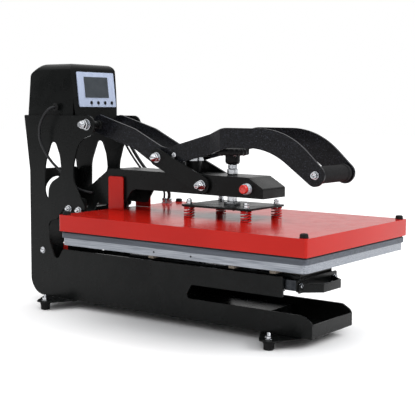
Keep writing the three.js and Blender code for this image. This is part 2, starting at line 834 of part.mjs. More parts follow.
function spindle() {
  const nutBottom = bossTopZ + seam;
  const rod = rodZ(spindleRadius, sleeveTopZ + 8, nutBottom + lockNutHeight + 30, 0, spindleY);
  return fuse(rod, rodZ(lockNutRadius, nutBottom, nutBottom + lockNutHeight, 0, spindleY, 6));
}

// ---------------------------------------------------------------- pressure plate and upper platen
function pressureSleeve() {
  const base = springPlateTop + seam;
  return turned([
    [0, base],
    [flangeRadius, base],
    [flangeRadius, base + flangeHeight],
    [sleeveRadius, base + flangeHeight],
    [sleeveRadius, sleeveTopZ],
    [0, sleeveTopZ],
  ]).translate(0, spindleY, 0);
}

const springPlaces = [];
for (const sideX of [-1, 1]) {
  for (const sideY of [-1, 1]) {
    springPlaces.push([
      sideX * (springPlateWidth / 2 - springInset),
      springPlateY + sideY * (springPlateLength / 2 - springInset),
    ]);
  }
}

function springPlate() {
  const corners = rectangle(springPlateWidth / 2, springPlateLength / 2, 6, 0, springPlateY);
  return plateZ(corners, springPlateBottom, springPlateTop);
}

function spring() {
  const bottom = coverTop + seam;
  const top = springPlateBottom - seam;
  return turned([[springBore, bottom], [springRadius, bottom], [springRadius, top], [springBore, top]], 20);
}

function platenCover() {
  const half = [coverWidth / 2, coverLength / 2];
  const outside = plateZ(rectangle(...half, 6), coverBottom, coverTop);
  const inside = plateZ(
    rectangle(half[0] - coverSheet, half[1] - coverSheet, 4.5),
    coverBottom - 1,
    coverTop - coverSheet,
  );
  return cut(outside, inside);
}

function heatingPlaten() {
  const corners = rectangle(heaterWidth / 2, heaterLength / 2, 8);
  return plateZ(corners, heaterBottom, heaterBottom + heaterThickness);
}

function guideTab(side) {
  const innerX = beamHalfWidth + guideTabGap;
  const rearY = coverRearY - seam;
  const middleY = rearY - guideTabDepth / 2;
  const bottomZ = coverTop + seam;
  const guideTabTop = bottomZ + guideTabHeight;
  const corners = [
    [middleY - guideTabDepth / 2, bottomZ],
    [middleY + guideTabDepth / 2, bottomZ],
    [middleY + guideTabDepth / 2, guideTabTop, 6],
    [middleY - guideTabDepth / 2, guideTabTop, 6],
  ];
  return side > 0
    ? plateX(corners, innerX, innerX + guideTabThickness)
    : plateX(corners, -innerX - guideTabThickness, -innerX);
}

// ---------------------------------------------------------------- handle and links
const elbow = [handleElbowY, handleElbowZ];
const linkFoot = [linkFootY, linkFootZ];

function armCorners() {
  const gripEye = gripRadius + 3;
  const fromElbow = (y, z, radius) => [handleElbowY + y, handleElbowZ + z, radius];
  return [
    ...strapEnd([handlePivotY, handlePivotZ], [0.956, 0.294], armEye).reverse(),
    fromElbow(72, 60, 60),
    fromElbow(-13, 19, 45),
    fromElbow(-186, 67, 60),
    fromElbow(-336, 67, 228),
    ...strapEnd([gripY, gripZ], [-0.72, -0.69], gripEye).reverse(),
    fromElbow(-297, 27, 281),
    fromElbow(-202, 28, 120),
    fromElbow(2, -24, 24),
    fromElbow(74, 17, 60),
  ];
}

function arm(side) {
  const profile = plateX(armCorners(), -armFrontOuterX - 5, armFrontOuterX + 5, plateArcSteps);
  const frontY = gripY - 60;
  const rearY = handlePivotY + 60;
  const plan = [
    [armRearOuterX, rearY],
    [armRearOuterX, armJoggleRearY, 8],
    [armFrontOuterX, armJoggleFrontY, 8],
    [armFrontOuterX, frontY],
    [armFrontInnerX, frontY],
    [armFrontInnerX, armJoggleFrontY - 1.3, 8],
    [armRearInnerX, armJoggleRearY - 1.3, 8],
    [armRearInnerX, rearY],
  ].map(([x, y, radius]) => [side * x, y, radius]);
  const reach = armFrontOuterX + 6;
  return cut(
    common(profile, plateZ(plan, gripZ - 84, handlePivotZ + 58)),
    rodX(pinRadius + running, -reach, reach, handlePivotY, handlePivotZ),
    rodX(pinRadius + running, -reach, reach, ...elbow),
  );
}

function armatureBar() {
  const bottom = magnetTopZ + seam + armatureThickness + seam;
  const half = armRearInnerX - seam;
  const tab = 14;
  const bar = block(
    -half,
    half,
    magnetY - armatureBarDepth / 2,
    magnetY + armatureBarDepth / 2,
    bottom,
    bottom + armatureBarThickness,
  );
  const ears = [-1, 1].map((side) => block(
    side > 0 ? half - sheet : -half,
    side > 0 ? half : -half + sheet,
    magnetY - tab / 2,
    magnetY + tab / 2,
    bottom + 1,
    bottom + tab,
  ));
  return fuse(bar, ...ears);
}

function armature() {
  const bottom = magnetTopZ + seam;
  return rodZ(armatureRadius, bottom, bottom + armatureThickness, 0, magnetY, 36);
}

function grip() {
  const half = armFrontInnerX - seam;
  const profile = [
    [0, -half],
    [gripRadius - 3, -half],
    [gripRadius, -half + 3],
    [gripRadius, half - gripCollarLength - 9],
    [gripCollarRadius, half - gripCollarLength - 8],
    [gripCollarRadius, half - 8],
    [gripRadius, half - 7],
    [gripRadius - 3, half],
    [0, half],
  ];
  return turned(profile).rotateY(Math.PI / 2).translate(0, gripY, gripZ);
}

function link(side) {
  const along = [linkFootY - handleElbowY, linkFootZ - handleElbowZ];
  const back = along.map((value) => -value);
  const corners = [
    ...strapEnd(linkFoot, along, linkHalfHeight),
    ...strapEnd(elbow, back, linkHalfHeight),
  ];
  const plate = side > 0
    ? plateX(corners, linkInnerX, linkOuterX, plateArcSteps)
    : plateX(corners, -linkOuterX, -linkInnerX, plateArcSteps);
  const reach = linkOuterX + 1;
  return cut(plate, rodX(pinRadius + running, -reach, reach, ...linkFoot));
}

// ---------------------------------------------------------------- cables
// From the box's left boss, down outside the plate, in through the oval and up to the beam's side.
const signalRoute = [
  [-boxHalfWidth - cableBossLength - seam, cableHoleY, cableHoleZ],
  [-boxHalfWidth - cableBossLength - 5, cableHoleY, cableHoleZ],
  [-97, 441, 456],
  [-102, 454, 440],
  [-101, 468, 415],
  [-98, 470, 385],
  [-92, 460, 358],
  [-84, 448, 336],
  [-73, 436, 318],
  [-64, 424, 300],
  [-60, 406, 284],
  [-58, 386, 274],
  [-54, 368, 269],
  [-beamHalfWidth - 5, 358, 267],
  [-beamHalfWidth - seam, 358, 267],
];

// From the box's right boss, down outside the plate and on to the terminal at the platen's rear corner.
const terminalX = 148;
const terminalY = 288;
const heaterRoute = [
  [boxHalfWidth + cableBossLength + seam, cableHoleY, cableHoleZ],
  [boxHalfWidth + cableBossLength + 5, cableHoleY, cableHoleZ],
  [96, 428, 453],
  [101, 412, 432],
  [106, 394, 400],
  [112, 374, 364],
  [119, 352, 330],
  [127, 330, 302],
  [136, 310, 282],
  [144, 295, 270],
  [terminalX, terminalY, 258],
  [terminalX, terminalY, coverTop + 8],
];

// ---------------------------------------------------------------- assembly
const press = new THREE.Group();

function add(name, geometry, material, parent = press) {
  const mesh = new THREE.Mesh(geometry, material());
  mesh.name = name;
  parent.add(mesh);
  return mesh;
}

add('side_plate_left', sidePlate(-frameHalfWidth, -plateInnerX), blackPaint);
add('side_plate_right', sidePlate(plateInnerX, frameHalfWidth), blackPaint);
add('base_tray', baseTray(), blackPaint);
add('rear_panel', rearPanel(), blackPaint);
add('foot_bar_front', footBar(frontFootY), blackPaint);
add('foot_bar_rear', footBar(rearFootY), blackPaint);
for (const [row, footY] of [['front', frontFootY], ['rear', rearFootY]]) {
  for (const [side, sign] of [['left', -1], ['right', 1]]) {
    add(`foot_${row}_${side}`, foot(), blackRubber).position.set(sign * footSideX, footY, 0);
  }
}
const blockOuter = innerHalfWidth;
const blockInner = innerHalfWidth - hingeBlockThickness;
add('hinge_block_left', hingeBlock(-blockOuter, -blockInner), blackPaint);
add('hinge_block_right', hingeBlock(blockInner, blockOuter), blackPaint);
add('hinge_shaft', rodX(hingeShaftRadius, -innerHalfWidth, innerHalfWidth, hingeY, hingeZ), brightSteel);
const pivotReach = frameHalfWidth + handlePinOverhang;
add('pivot_bolt', rodX(pinRadius, -pivotReach, pivotReach, handlePivotY, handlePivotZ), brightSteel);
add('power_inlet', powerInlet(), blackPlastic);
add('power_switch', rocker(), redPlastic);
add('control_box', controlBox(), blackPaint);

const face = facePlace();
press.add(face);
add('control_panel', controlPanel(), silverPanel, face);
panelButtonXs.forEach((x, i) => add(`panel_button_${i + 1}`, panelButton(x), blackPlastic, face));

add('slide_rail_left', slideRail(-1), brightSteel);
add('slide_rail_right', slideRail(1), brightSteel);
add('slide_runner_left', slideRunner(-1), brightSteel);
add('slide_runner_right', slideRunner(1), brightSteel);
add('drawer_carriage', carriage(), blackPaint);
add('drawer_front', drawerFront(), blackPaint);
add('drawer_handle', drawerHandle(), blackPaint);
add('platen_support_front', platenSupport(drawerFrontY + supportSetback), insulator);
add('platen_support_rear', platenSupport(drawerFrontY + supportSetback + supportSpacing), insulator);
add('lower_platen', lowerPlaten(), bareAluminium);
add('silicone_pad', siliconePad(), greySilicone);

add('beam', beam(), blackPaint);
add('magnet', magnet(), blackPlastic);
add('stop_button_ring', stopButtonRing(), whitePlastic);
add('stop_button', stopButtonCap(), redPlastic);
const linkPinReach = linkOuterX + linkPinOverhang;
add('link_pin', rodX(pinRadius, -linkPinReach, linkPinReach, ...linkFoot), brightSteel);
add('pressure_knob', knob(), blackPlastic);
add('pressure_spindle', spindle(), brightSteel);
add('pressure_sleeve', pressureSleeve(), brightSteel);
add('spring_plate', springPlate(), blackPaint);
springPlaces.forEach(([x, y], i) => {
  add(`pressure_spring_${i + 1}`, spring(), redPaint).position.set(x, y, 0);
});
add('platen_cover', platenCover(), redPaint);
add('heating_platen', heatingPlaten(), darkCoating);
add('guide_tab_left', guideTab(-1), redPaint);
add('guide_tab_right', guideTab(1), redPaint);

add('handle_arm_left', arm(-1), blackPaint);
add('handle_arm_right', arm(1), blackPaint);
add('armature_bar', armatureBar(), blackPaint);
add('armature', armature(), brightSteel);
add('grip', grip(), blackRubber);
const elbowReach = armRearOuterX + linkSideGap;
add('handle_pin', rodX(pinRadius, -elbowReach, elbowReach, ...elbow), brightSteel);
add('link_left', link(-1), blackPaint);
add('link_right', link(1), blackPaint);

add('signal_cable', tube(signalRoute, signalCableRadius), blackRubber);
add('heater_cable', tube(heaterRoute, heaterCableRadius), blackRubber);

// The origin is the middle of the whole box, on the ground.
const box = new THREE.Box3().setFromObject(press, true);
press.position.y = -(box.min.y + box.max.y) / 2;

const group = new THREE.Group();
group.add(press);

export default group;
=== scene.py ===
"""Looks of a clamshell heat press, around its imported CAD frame: finishes, fasteners, springs and cables."""

import json
import math

import bmesh
import bpy
from mathutils import Matrix, Vector

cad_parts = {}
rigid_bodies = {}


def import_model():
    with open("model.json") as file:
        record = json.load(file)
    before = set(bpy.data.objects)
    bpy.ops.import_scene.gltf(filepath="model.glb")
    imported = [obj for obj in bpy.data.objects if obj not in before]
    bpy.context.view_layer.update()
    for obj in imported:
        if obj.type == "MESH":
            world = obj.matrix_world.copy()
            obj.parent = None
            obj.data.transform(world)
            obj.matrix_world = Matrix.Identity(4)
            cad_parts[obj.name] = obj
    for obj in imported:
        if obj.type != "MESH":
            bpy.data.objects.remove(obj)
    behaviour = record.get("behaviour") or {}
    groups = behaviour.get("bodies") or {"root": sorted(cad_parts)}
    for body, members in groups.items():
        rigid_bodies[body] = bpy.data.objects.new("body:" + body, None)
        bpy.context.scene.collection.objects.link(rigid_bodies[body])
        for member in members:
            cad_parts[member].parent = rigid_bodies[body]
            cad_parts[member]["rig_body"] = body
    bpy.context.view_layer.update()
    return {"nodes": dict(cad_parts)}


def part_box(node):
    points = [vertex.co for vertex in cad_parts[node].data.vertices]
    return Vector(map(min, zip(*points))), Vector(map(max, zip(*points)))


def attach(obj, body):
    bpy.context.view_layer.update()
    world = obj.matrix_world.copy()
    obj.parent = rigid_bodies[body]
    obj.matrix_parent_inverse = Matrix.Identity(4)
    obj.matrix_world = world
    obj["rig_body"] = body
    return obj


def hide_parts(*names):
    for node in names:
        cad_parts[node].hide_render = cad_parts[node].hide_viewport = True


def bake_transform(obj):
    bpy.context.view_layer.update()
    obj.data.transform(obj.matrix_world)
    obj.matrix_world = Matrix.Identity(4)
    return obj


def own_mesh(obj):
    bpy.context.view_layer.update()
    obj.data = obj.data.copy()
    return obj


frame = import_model()

MM = 0.001
SIDES = (-1, 1)


# ---------------------------------------------------------------- places, from the frame
def middle(node):
    low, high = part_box(node)
    return (low + high) / 2


def size(node):
    low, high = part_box(node)
    return (high - low) / MM


def body_of(node):
    return frame["nodes"][node]["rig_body"]


COVER_MIDDLE_Y = middle("platen_cover").y


def at(x, y, z):
    """A point in metres from millimetres, with y measured from the middle of the platens."""
    return Vector((x * MM, y * MM + COVER_MIDDLE_Y, z * MM))


def facing(spot, axis):
    """A placement whose +Z points along axis, with its origin at spot."""
    return Matrix.Translation(spot) @ Vector(axis).to_track_quat("Z", "Y").to_matrix().to_4x4()


# ---------------------------------------------------------------- shared sizes, in millimetres
SEAT_GAP = 0.2  # between a fastener and the face that it sits on
PIN_BORE_RADIUS = 6.2  # in the washers and spacers on the toggle's pins
WASHER_THICKNESS = 2.2  # at the shoulder
KNOB_THICKNESS = 15  # without the hub
KNOB_BORE_RADIUS = 6.5
FLUTE_DEPTH = 0.8
SPRING_BORE_RADIUS = 6.6
SPRING_WIRE = 2.9
SPRING_COILS = 4.6
SPRING_CLOSED_COILS = 0.6  # at each end
CAP_INSET = 12.6  # from the cover's edges to the middles of its corner caps
GRIP_RADIUS = 17
GRIP_DENTS = 9
KNOB_SCREW_CIRCLE = 23  # radius
SLEEVE_SCREW_OFFSET = 12  # from the sleeve's middle, along both sides of the plate
ARMATURE_SCREW = (21, -3)  # y and z from the armature bar's middle
ARMATURE_NUT_X = 14
ARMATURE_NUT_RISE = 10.3  # above the armature's middle
HINGE_BOLTS = ((15, -8), (-16, -10))  # y and z from the beam's hinge
REAR_SCREW_INSET = 32  # forward of the rear panel
REAR_SCREW_RISE = 7  # above the power inlet's middle
PANEL_THICKNESS = 2
DISPLAY_HALF_WIDTH = 39.6
DISPLAY_HALF_HEIGHT = 24
BEZEL_LIP = 1.6
DISPLAY_MIDDLE = (-1, 5)  # from the panel's middle
BUTTON_ROW = -30.5  # from the panel's middle
BUTTON_MARK_ROW = -37.2
BOX_SIDE_GAP = 1  # between the control box and a side plate
BOX_EXIT = (435, 460.5)  # y and z where the signal and heater cables leave the control box
SENSOR_EXIT = (452, 461)  # the same for the sensor cable
SIGNAL_DIAMETER = 6
HEATER_DIAMETER = 8
SENSOR_DIAMETER = 5
PLATEN_HOLES = (-46, 46)  # y of the holes in the lower platen's sides
HOLE_RADIUS = 2.1
MIDDLE_SUPPORT_Y = -56
LEVELLING_BOLT_X = 48
LEVELLING_BOLT_YS = (-85, 40)
DRAWER_SCREW_X = 66
INLET_PINS = ((-6, -1.5), (0, 2.5), (6, -1.5))  # x and z from the inlet's middle
INLET_PIN_DEPTH = 13  # of the pins' roots below the inlet's face
FLOOR_HALF_SIDE = 14000


# ---------------------------------------------------------------- mesh building
def turn(mesh, where, profile, sides=40):
    """A turned solid about where's Z axis from (radius, height) points in millimetres."""
    rings = []
    for radius, height in profile:
        if radius == 0:
            rings.append([mesh.verts.new(where @ Vector((0, 0, height * MM)))])
            continue
        ring = []
        for i in range(sides):
            angle = 2 * math.pi * i / sides
            point = Vector((radius * math.cos(angle), radius * math.sin(angle), height)) * MM
            ring.append(mesh.verts.new(where @ point))
        rings.append(ring)
    if profile[0][0] > 0 and profile[-1][0] > 0:
        rings.append(rings[0])
    for lower, upper in zip(rings, rings[1:]):
        for i in range(sides):
            following = (i + 1) % sides
            corners = [
                lower[i % len(lower)],
                lower[following % len(lower)],
                upper[following % len(upper)],
                upper[i % len(upper)],
            ]
            mesh.faces.new(list(dict.fromkeys(corners)))


def extrude(mesh, where, outline, bottom, top):
    """A prism between two heights of where's Z axis, over an outline of (u, v) points in millimetres."""
    loops = [
        [mesh.verts.new(where @ (Vector((u, v, height)) * MM)) for u, v in outline]
        for height in (bottom, top)
    ]
    mesh.faces.new(loops[0][::-1])
    mesh.faces.new(loops[1])
    for i in range(len(outline)):
        following = (i + 1) % len(outline)
        mesh.faces.new((loops[0][i], loops[0][following], loops[1][following], loops[1][i]))


def rounded(half_u, half_v, radius, middle_u=0, middle_v=0, steps=6):
    """The outline of a rectangle with round corners, in millimetres."""
    outline = []
    for quarter, (side_u, side_v) in enumerate([(1, 1), (-1, 1), (-1, -1), (1, -1)]):
        for step in range(steps + 1):
            angle = (quarter + step / steps) * math.pi / 2
            outline.append((
                middle_u + side_u * (half_u - radius) + radius * math.cos(angle),
                middle_v + side_v * (half_v - radius) + radius * math.sin(angle),
            ))
    return outline


def smooth_route(points, steps=8):
    """A Catmull-Rom curve through points, as a list of points."""
    ends = [2 * points[0] - points[1], *points, 2 * points[-1] - points[-2]]
    route = []
    for a, b, c, d in zip(ends, ends[1:], ends[2:], ends[3:]):
        for step in range(steps):
            t = step / steps
            route.append((
                2 * b + (c - a) * t + (2 * a - 5 * b + 4 * c - d) * t**2 + (3 * b - a - 3 * c + d) * t**3
            ) / 2)
    return [*route, points[-1]]


def sweep(mesh, route, radius, sides=14):
    """A round tube with closed ends along a route of points in metres."""
    tangent = (route[1] - route[0]).normalized()
    across = tangent.orthogonal().normalized()
    rings = []
    for i, point in enumerate(route):
        tangent = (route[min(i + 1, len(route) - 1)] - route[max(i - 1, 0)]).normalized()
        across = (across - tangent * across.dot(tangent)).normalized()
        other = tangent.cross(across)
        ring = []
        for side in range(sides):
            angle = 2 * math.pi * side / sides
            offset = across * math.cos(angle) + other * math.sin(angle)
            ring.append(mesh.verts.new(point + offset * radius * MM))
        rings.append(ring)
    for lower, upper in zip(rings, rings[1:]):
        for i in range(sides):
            following = (i + 1) % sides
            mesh.faces.new((lower[i], lower[following], upper[following], upper[i]))
    mesh.faces.new(rings[0][::-1])
    mesh.faces.new(rings[-1])


def mesh_object(name, mesh, material, edge=0.0, sharp_angle=32):
    """An object from a bmesh, smooth but for its sharp edges, which get a small round if edge is given."""
    bmesh.ops.recalc_face_normals(mesh, faces=mesh.faces)
    data = bpy.data.meshes.new(name)
    mesh.to_mesh(data)
    mesh.free()
    for polygon in data.polygons:
        polygon.use_smooth = True
    data.materials.append(material)
    made = bpy.data.objects.new(name, data)
    bpy.context.scene.collection.objects.link(made)
    if edge:
        soften(made, edge, sharp_angle)
    else:
        data.set_sharp_from_angle(angle=math.radians(sharp_angle))
    return made


def soften(made, edge, sharp_angle=32):
    """Rounds an object's sharp edges by edge millimetres and keeps its flats flat."""
    bevel = made.modifiers.new("edges", "BEVEL")
    bevel.width = edge * MM
    bevel.segments = 2
    bevel.limit_method = "ANGLE"
    bevel.angle_limit = math.radians(sharp_angle)
    bevel.harden_normals = True


def piece(name, mesh, body, material, edge=0.0, stands_for=()):
    """An object that rides on a CAD body, and takes the place of the CAD nodes that it stands for."""
    made = mesh_object(name, mesh, material, edge)
    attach(made, body)
    if stands_for:
        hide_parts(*stands_for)
    return made


# ---------------------------------------------------------------- material building
NOISE_LOW = 0.3  # most of a noise texture lies between these two
NOISE_HIGH = 0.7


def mapped(tree, value, from_low, from_high, to_low, to_high):
    """A shader value mapped from one span on to another."""
    node = tree.nodes.new("ShaderNodeMapRange")
    node.inputs["From Min"].default_value = from_low
    node.inputs["From Max"].default_value = from_high
    node.inputs["To Min"].default_value = to_low
    node.inputs["To Max"].default_value = to_high
    tree.links.new(value, node.inputs["Value"])
    return node.outputs["Result"]


class Finish:
    """A material with a Principled shader, whose even values are set on the shader's own sockets."""

    def __init__(self, name, slot, **even):
        self.material = bpy.data.materials.new(name)
        self.material.use_nodes = True
        self.tree = self.material.node_tree
        self.shader = self.tree.nodes["Principled BSDF"]
        self.place = self.add("ShaderNodeTexCoord").outputs["Object"]
        self.normal = None
        for socket, value in even.items():
            self.shader.inputs[socket.replace("_", " ")].default_value = value

    def add(self, kind):
        return self.tree.nodes.new(kind)

    def link(self, output, target):
        self.tree.links.new(output, target)

    def noise(self, scale, detail=3.0, stretch=(1, 1, 1)):
        """Noise with scale features in a metre, and fewer along an axis whose stretch is under 1."""
        mapping = self.add("ShaderNodeMapping")
        mapping.inputs["Scale"].default_value = stretch
        texture = self.add("ShaderNodeTexNoise")
        texture.inputs["Scale"].default_value = scale
        texture.inputs["Detail"].default_value = detail
        self.link(self.place, mapping.inputs["Vector"])
        self.link(mapping.outputs["Vector"], texture.inputs["Vector"])
        return texture.outputs["Fac"]

    def cells(self, scale):
        texture = self.add("ShaderNodeTexVoronoi")
        texture.inputs["Scale"].default_value = scale
        self.link(self.place, texture.inputs["Vector"])
        return texture.outputs["Distance"]

    def colours(self, value, first, second, from_low=NOISE_LOW, from_high=NOISE_HIGH):
        ramp = self.add("ShaderNodeValToRGB")
        ramp.color_ramp.elements[0].position = from_low
        ramp.color_ramp.elements[0].color = (*first, 1)
        ramp.color_ramp.elements[1].position = from_high
        ramp.color_ramp.elements[1].color = (*second, 1)
        self.link(value, ramp.inputs["Fac"])
        self.link(ramp.outputs["Color"], self.shader.inputs["Base Color"])
        return self

    def roughness(self, value, low, high):
        spread = mapped(self.tree, value, NOISE_LOW, NOISE_HIGH, low, high)
        self.link(spread, self.shader.inputs["Roughness"])
        return self

    def bump(self, value, depth, strength=1.0):
        """Relief of depth millimetres from a texture value, on top of the relief so far."""
        node = self.add("ShaderNodeBump")
        node.inputs["Strength"].default_value = strength
        node.inputs["Distance"].default_value = depth * MM
        self.link(value, node.inputs["Height"])
        if self.normal:
            self.link(self.normal, node.inputs["Normal"])
        self.normal = node.outputs["Normal"]
        self.link(self.normal, self.shader.inputs["Normal"])
        return self


def black_paint():
    made = Finish("satin_black_powder_coat", "black_paint", Specular_IOR_Level=0.12)
    made.colours(made.noise(9, 4), (0.0038, 0.0043, 0.0043), (0.0062, 0.0069, 0.0068))
    made.roughness(made.noise(28, 5), 0.22, 0.34)
    made.bump(made.noise(620, 2), 0.05, 0.5)
    return made.material


def hammered_paint():
    made = Finish("hammertone_paint_and_painted_glints", "hammered_paint", Specular_IOR_Level=0.18)
    # dark mottled paint, with pale bluish flecks that are painted glints standing for the hammertone's
    # sparkle
    made.colours(made.noise(780, 1), (0.0030, 0.0033, 0.0042), (0.064, 0.070, 0.092), 0.60, 0.76)
    made.roughness(made.noise(240, 3), 0.24, 0.42)
    made.bump(made.cells(430), 0.22, 0.7)
    made.bump(made.noise(1100, 2), 0.05, 0.6)
    return made.material


def red_paint():
    made = Finish("gloss_red_powder_coat", "red_paint", Specular_IOR_Level=0.14)
    made.colours(made.noise(6, 3), (0.370, 0.0088, 0.0052), (0.415, 0.0112, 0.0066))
    made.roughness(made.noise(35, 4), 0.12, 0.20)
    made.bump(made.noise(420, 2), 0.03, 0.25)
    return made.material


def red_spring_paint():
    made = Finish("red_spring_enamel", "red_spring", Specular_IOR_Level=0.3)
    made.colours(made.noise(150, 3), (0.430, 0.006, 0.006), (0.540, 0.010, 0.008))
    made.roughness(made.noise(300, 3), 0.25, 0.38)
    made.bump(made.noise(900, 2), 0.03, 0.5)
    return made.material


def brushed_aluminium():
    along = (1.0, 0.035, 1.6)
    made = Finish("brushed_aluminium", "aluminium", Metallic=1.0)
    made.colours(made.noise(420, 4, along), (0.160, 0.174, 0.198), (0.360, 0.380, 0.415))
    made.roughness(made.noise(300, 4, along), 0.26, 0.42)
    made.bump(made.noise(700, 3, along), 0.03, 0.5)
    return made.material


def zinc_steel():
    made = Finish("bright_zinc_steel", "steel", Metallic=1.0)
    made.colours(made.noise(60, 4), (0.400, 0.415, 0.440), (0.560, 0.570, 0.590))
    made.roughness(made.noise(180, 4), 0.12, 0.22)
    made.bump(made.noise(1400, 2), 0.012, 0.5)
    return made.material


def rail_steel():
    made = Finish("black_zinc_rail_steel", "rail_steel", Metallic=1.0)
    made.colours(made.cells(90), (0.018, 0.020, 0.023), (0.040, 0.043, 0.048), 0.1, 0.8)
    made.roughness(made.noise(90, 4), 0.24, 0.40)
    made.bump(made.noise(500, 3), 0.02, 0.5)
    return made.material


def dark_coating():
    made = Finish("dark_nonstick_coating", "coating", Specular_IOR_Level=0.2)
    made.colours(made.noise(70, 4), (0.0070, 0.0070, 0.0080), (0.0160, 0.0165, 0.0180))
    made.roughness(made.noise(160, 4), 0.46, 0.62)
    made.bump(made.noise(900, 2), 0.03, 0.6)
    return made.material


def silicone():
    along = (1.0, 0.05, 1.2)
    made = Finish("grey_silicone_sponge", "silicone", Sheen_Weight=0.08, Sheen_Roughness=0.5)
    made.colours(made.noise(160, 5, along), (0.036, 0.043, 0.056), (0.066, 0.075, 0.094))
    made.roughness(made.noise(220, 4, along), 0.58, 0.78)
    made.bump(made.noise(480, 4, along), 0.10, 0.7)
    made.bump(made.noise(1500, 2), 0.03, 0.7)
    return made.material


def rubber():
    made = Finish("moulded_black_rubber", "rubber", Specular_IOR_Level=0.15)
    made.colours(made.noise(120, 4), (0.0040, 0.0040, 0.0042), (0.0085, 0.0085, 0.0090))
    made.roughness(made.noise(200, 4), 0.55, 0.75)
    made.bump(made.noise(1200, 3), 0.04, 0.7)
    return made.material


def foam():
    made = Finish("black_grip_foam", "foam", Specular_IOR_Level=0.12)
    made.colours(made.cells(900), (0.0045, 0.0045, 0.0048), (0.0120, 0.0120, 0.0128), 0.1, 0.7)
    made.roughness(made.noise(300, 3), 0.78, 0.95)
    made.bump(made.cells(1000), 0.18, 0.9)
    made.bump(made.noise(160, 3), 0.15, 0.5)
    return made.material


def cable_jacket():
    made = Finish("black_cable_jacket", "cable", Specular_IOR_Level=0.3)
    made.colours(made.noise(80, 3), (0.0045, 0.0050, 0.0062), (0.0085, 0.0095, 0.0115))
    made.roughness(made.noise(260, 3), 0.36, 0.52)
    made.bump(made.noise(1300, 2), 0.03, 0.6)
    return made.material


def black_plastic():
    made = Finish("moulded_black_plastic", "black_plastic", Specular_IOR_Level=0.12)
    made.colours(made.noise(40, 3), (0.0030, 0.0032, 0.0036), (0.0052, 0.0054, 0.0060))
    made.roughness(made.noise(120, 4), 0.30, 0.44)
    made.bump(made.noise(1500, 2), 0.025, 0.6)
    return made.material


def panel_film():
    made = Finish("silver_blue_panel_film", "panel", Coat_Weight=0.15, Coat_Roughness=0.2)
    made.colours(made.noise(900, 2, (1.0, 0.06, 0.06)), (0.300, 0.360, 0.490), (0.370, 0.430, 0.560))
    made.roughness(made.noise(200, 3), 0.34, 0.46)
    made.bump(made.noise(1600, 2), 0.02, 0.5)
    return made.material


def display_glass():
    made = Finish("dark_display_glass", "panel", Coat_Weight=0.2, Coat_Roughness=0.05)
    made.colours(made.noise(30, 2), (0.026, 0.033, 0.040), (0.038, 0.046, 0.054))
    made.roughness(made.noise(60, 3), 0.16, 0.24)
    made.bump(made.noise(2200, 1), 0.006, 0.4)
    return made.material


def red_plastic():
    made = Finish("glossy_red_plastic", "red_plastic", Coat_Weight=0.4, Coat_Roughness=0.1)
    made.colours(made.noise(60, 3), (0.560, 0.016, 0.010), (0.640, 0.024, 0.014))
    made.roughness(made.noise(150, 3), 0.22, 0.34)
    made.bump(made.noise(1500, 2), 0.015, 0.5)
    return made.material


def white_plastic():
    made = Finish("pale_blue_white_plastic", "white_plastic", Coat_Weight=0.3, Coat_Roughness=0.12)
    made.colours(made.noise(60, 3), (0.420, 0.480, 0.530), (0.480, 0.540, 0.590))
    made.roughness(made.noise(150, 3), 0.26, 0.38)
    made.bump(made.noise(1500, 2), 0.015, 0.5)
    return made.material


def insulator():
    made = Finish("pressed_fibre_insulator", "insulator")
    made.colours(made.noise(260, 5, (1, 1, 3)), (0.150, 0.125, 0.098), (0.270, 0.230, 0.185))
    made.roughness(made.noise(300, 4), 0.7, 0.9)
    made.bump(made.noise(700, 4), 0.10, 0.8)
    return made.material


BLACK_PAINT = black_paint()
HAMMERED_AND_GLINTS = hammered_paint()
RED_PAINT = red_paint()
RED_SPRING = red_spring_paint()
ALUMINIUM = brushed_aluminium()
STEEL = zinc_steel()
RAIL_STEEL = rail_steel()
COATING = dark_coating()
SILICONE = silicone()
RUBBER = rubber()
FOAM = foam()
CABLE = cable_jacket()
BLACK_PLASTIC = black_plastic()
PANEL = panel_film()
GLASS = display_glass()
RED_PLASTIC = red_plastic()
WHITE_PLASTIC = white_plastic()
INSULATOR = insulator()

BY_SLOT = {
    "black_paint": BLACK_PAINT,
    "hammered_paint": HAMMERED_AND_GLINTS,
    "red_paint": RED_PAINT,
    "red_spring": RED_SPRING,
    "aluminium": ALUMINIUM,
    "steel": STEEL,
    "rail_steel": RAIL_STEEL,
    "coating": COATING,
    "silicone": SILICONE,
    "rubber": RUBBER,
    "foam": FOAM,
    "cable": CABLE,
    "black_plastic": BLACK_PLASTIC,
    "panel": PANEL,
    "button_plastic": BLACK_PLASTIC,
    "red_plastic": RED_PLASTIC,
    "white_plastic": WHITE_PLASTIC,
    "insulator": INSULATOR,
}


def dress_cad_nodes():
    """Each CAD node gets its slot's finish, smooth curves and small rounds on its edges."""
    edges = {"rear_panel": 0.15, "silicone_pad": 1.6, "platen_cover": 2.2, "lower_platen": 1.2, "grip": 1.2}
    for name, node in frame["nodes"].items():
        slot = node.data.materials[0].name
        node.data.materials[0] = BY_SLOT[slot]
        for attribute in ("custom_normal", "sharp_edge", "sharp_face"):
            if attribute in node.data.attributes:
                node.data.attributes.remove(node.data.attributes[attribute])
        for polygon in node.data.polygons:
            polygon.use_smooth = True
        weld = node.modifiers.new("weld", "WELD")
        weld.merge_threshold = 0.01 * MM
        soften(node, edges.get(name, 0.5))


# ---------------------------------------------------------------- fasteners
def washer(mesh, where, radius, bore, bottom, thickness):
    top = bottom + thickness
    turn(mesh, where, [
        (bore, bottom),
        (radius - 0.3, bottom),
        (radius, bottom + 0.3),
        (radius, top - 0.3),
        (radius - 0.3, top),
        (bore, top),
    ], 36)


def nut(mesh, where, radius, bottom, height):
    """A hexagon nut or bolt head with its corners chamfered."""
    turn(mesh, where, [
        (0, bottom),
        (radius * 0.86, bottom),
        (radius, bottom + radius * 0.11),
        (radius, bottom + height - radius * 0.11),
        (radius * 0.86, bottom + height),
        (0, bottom + height),
    ], 6)


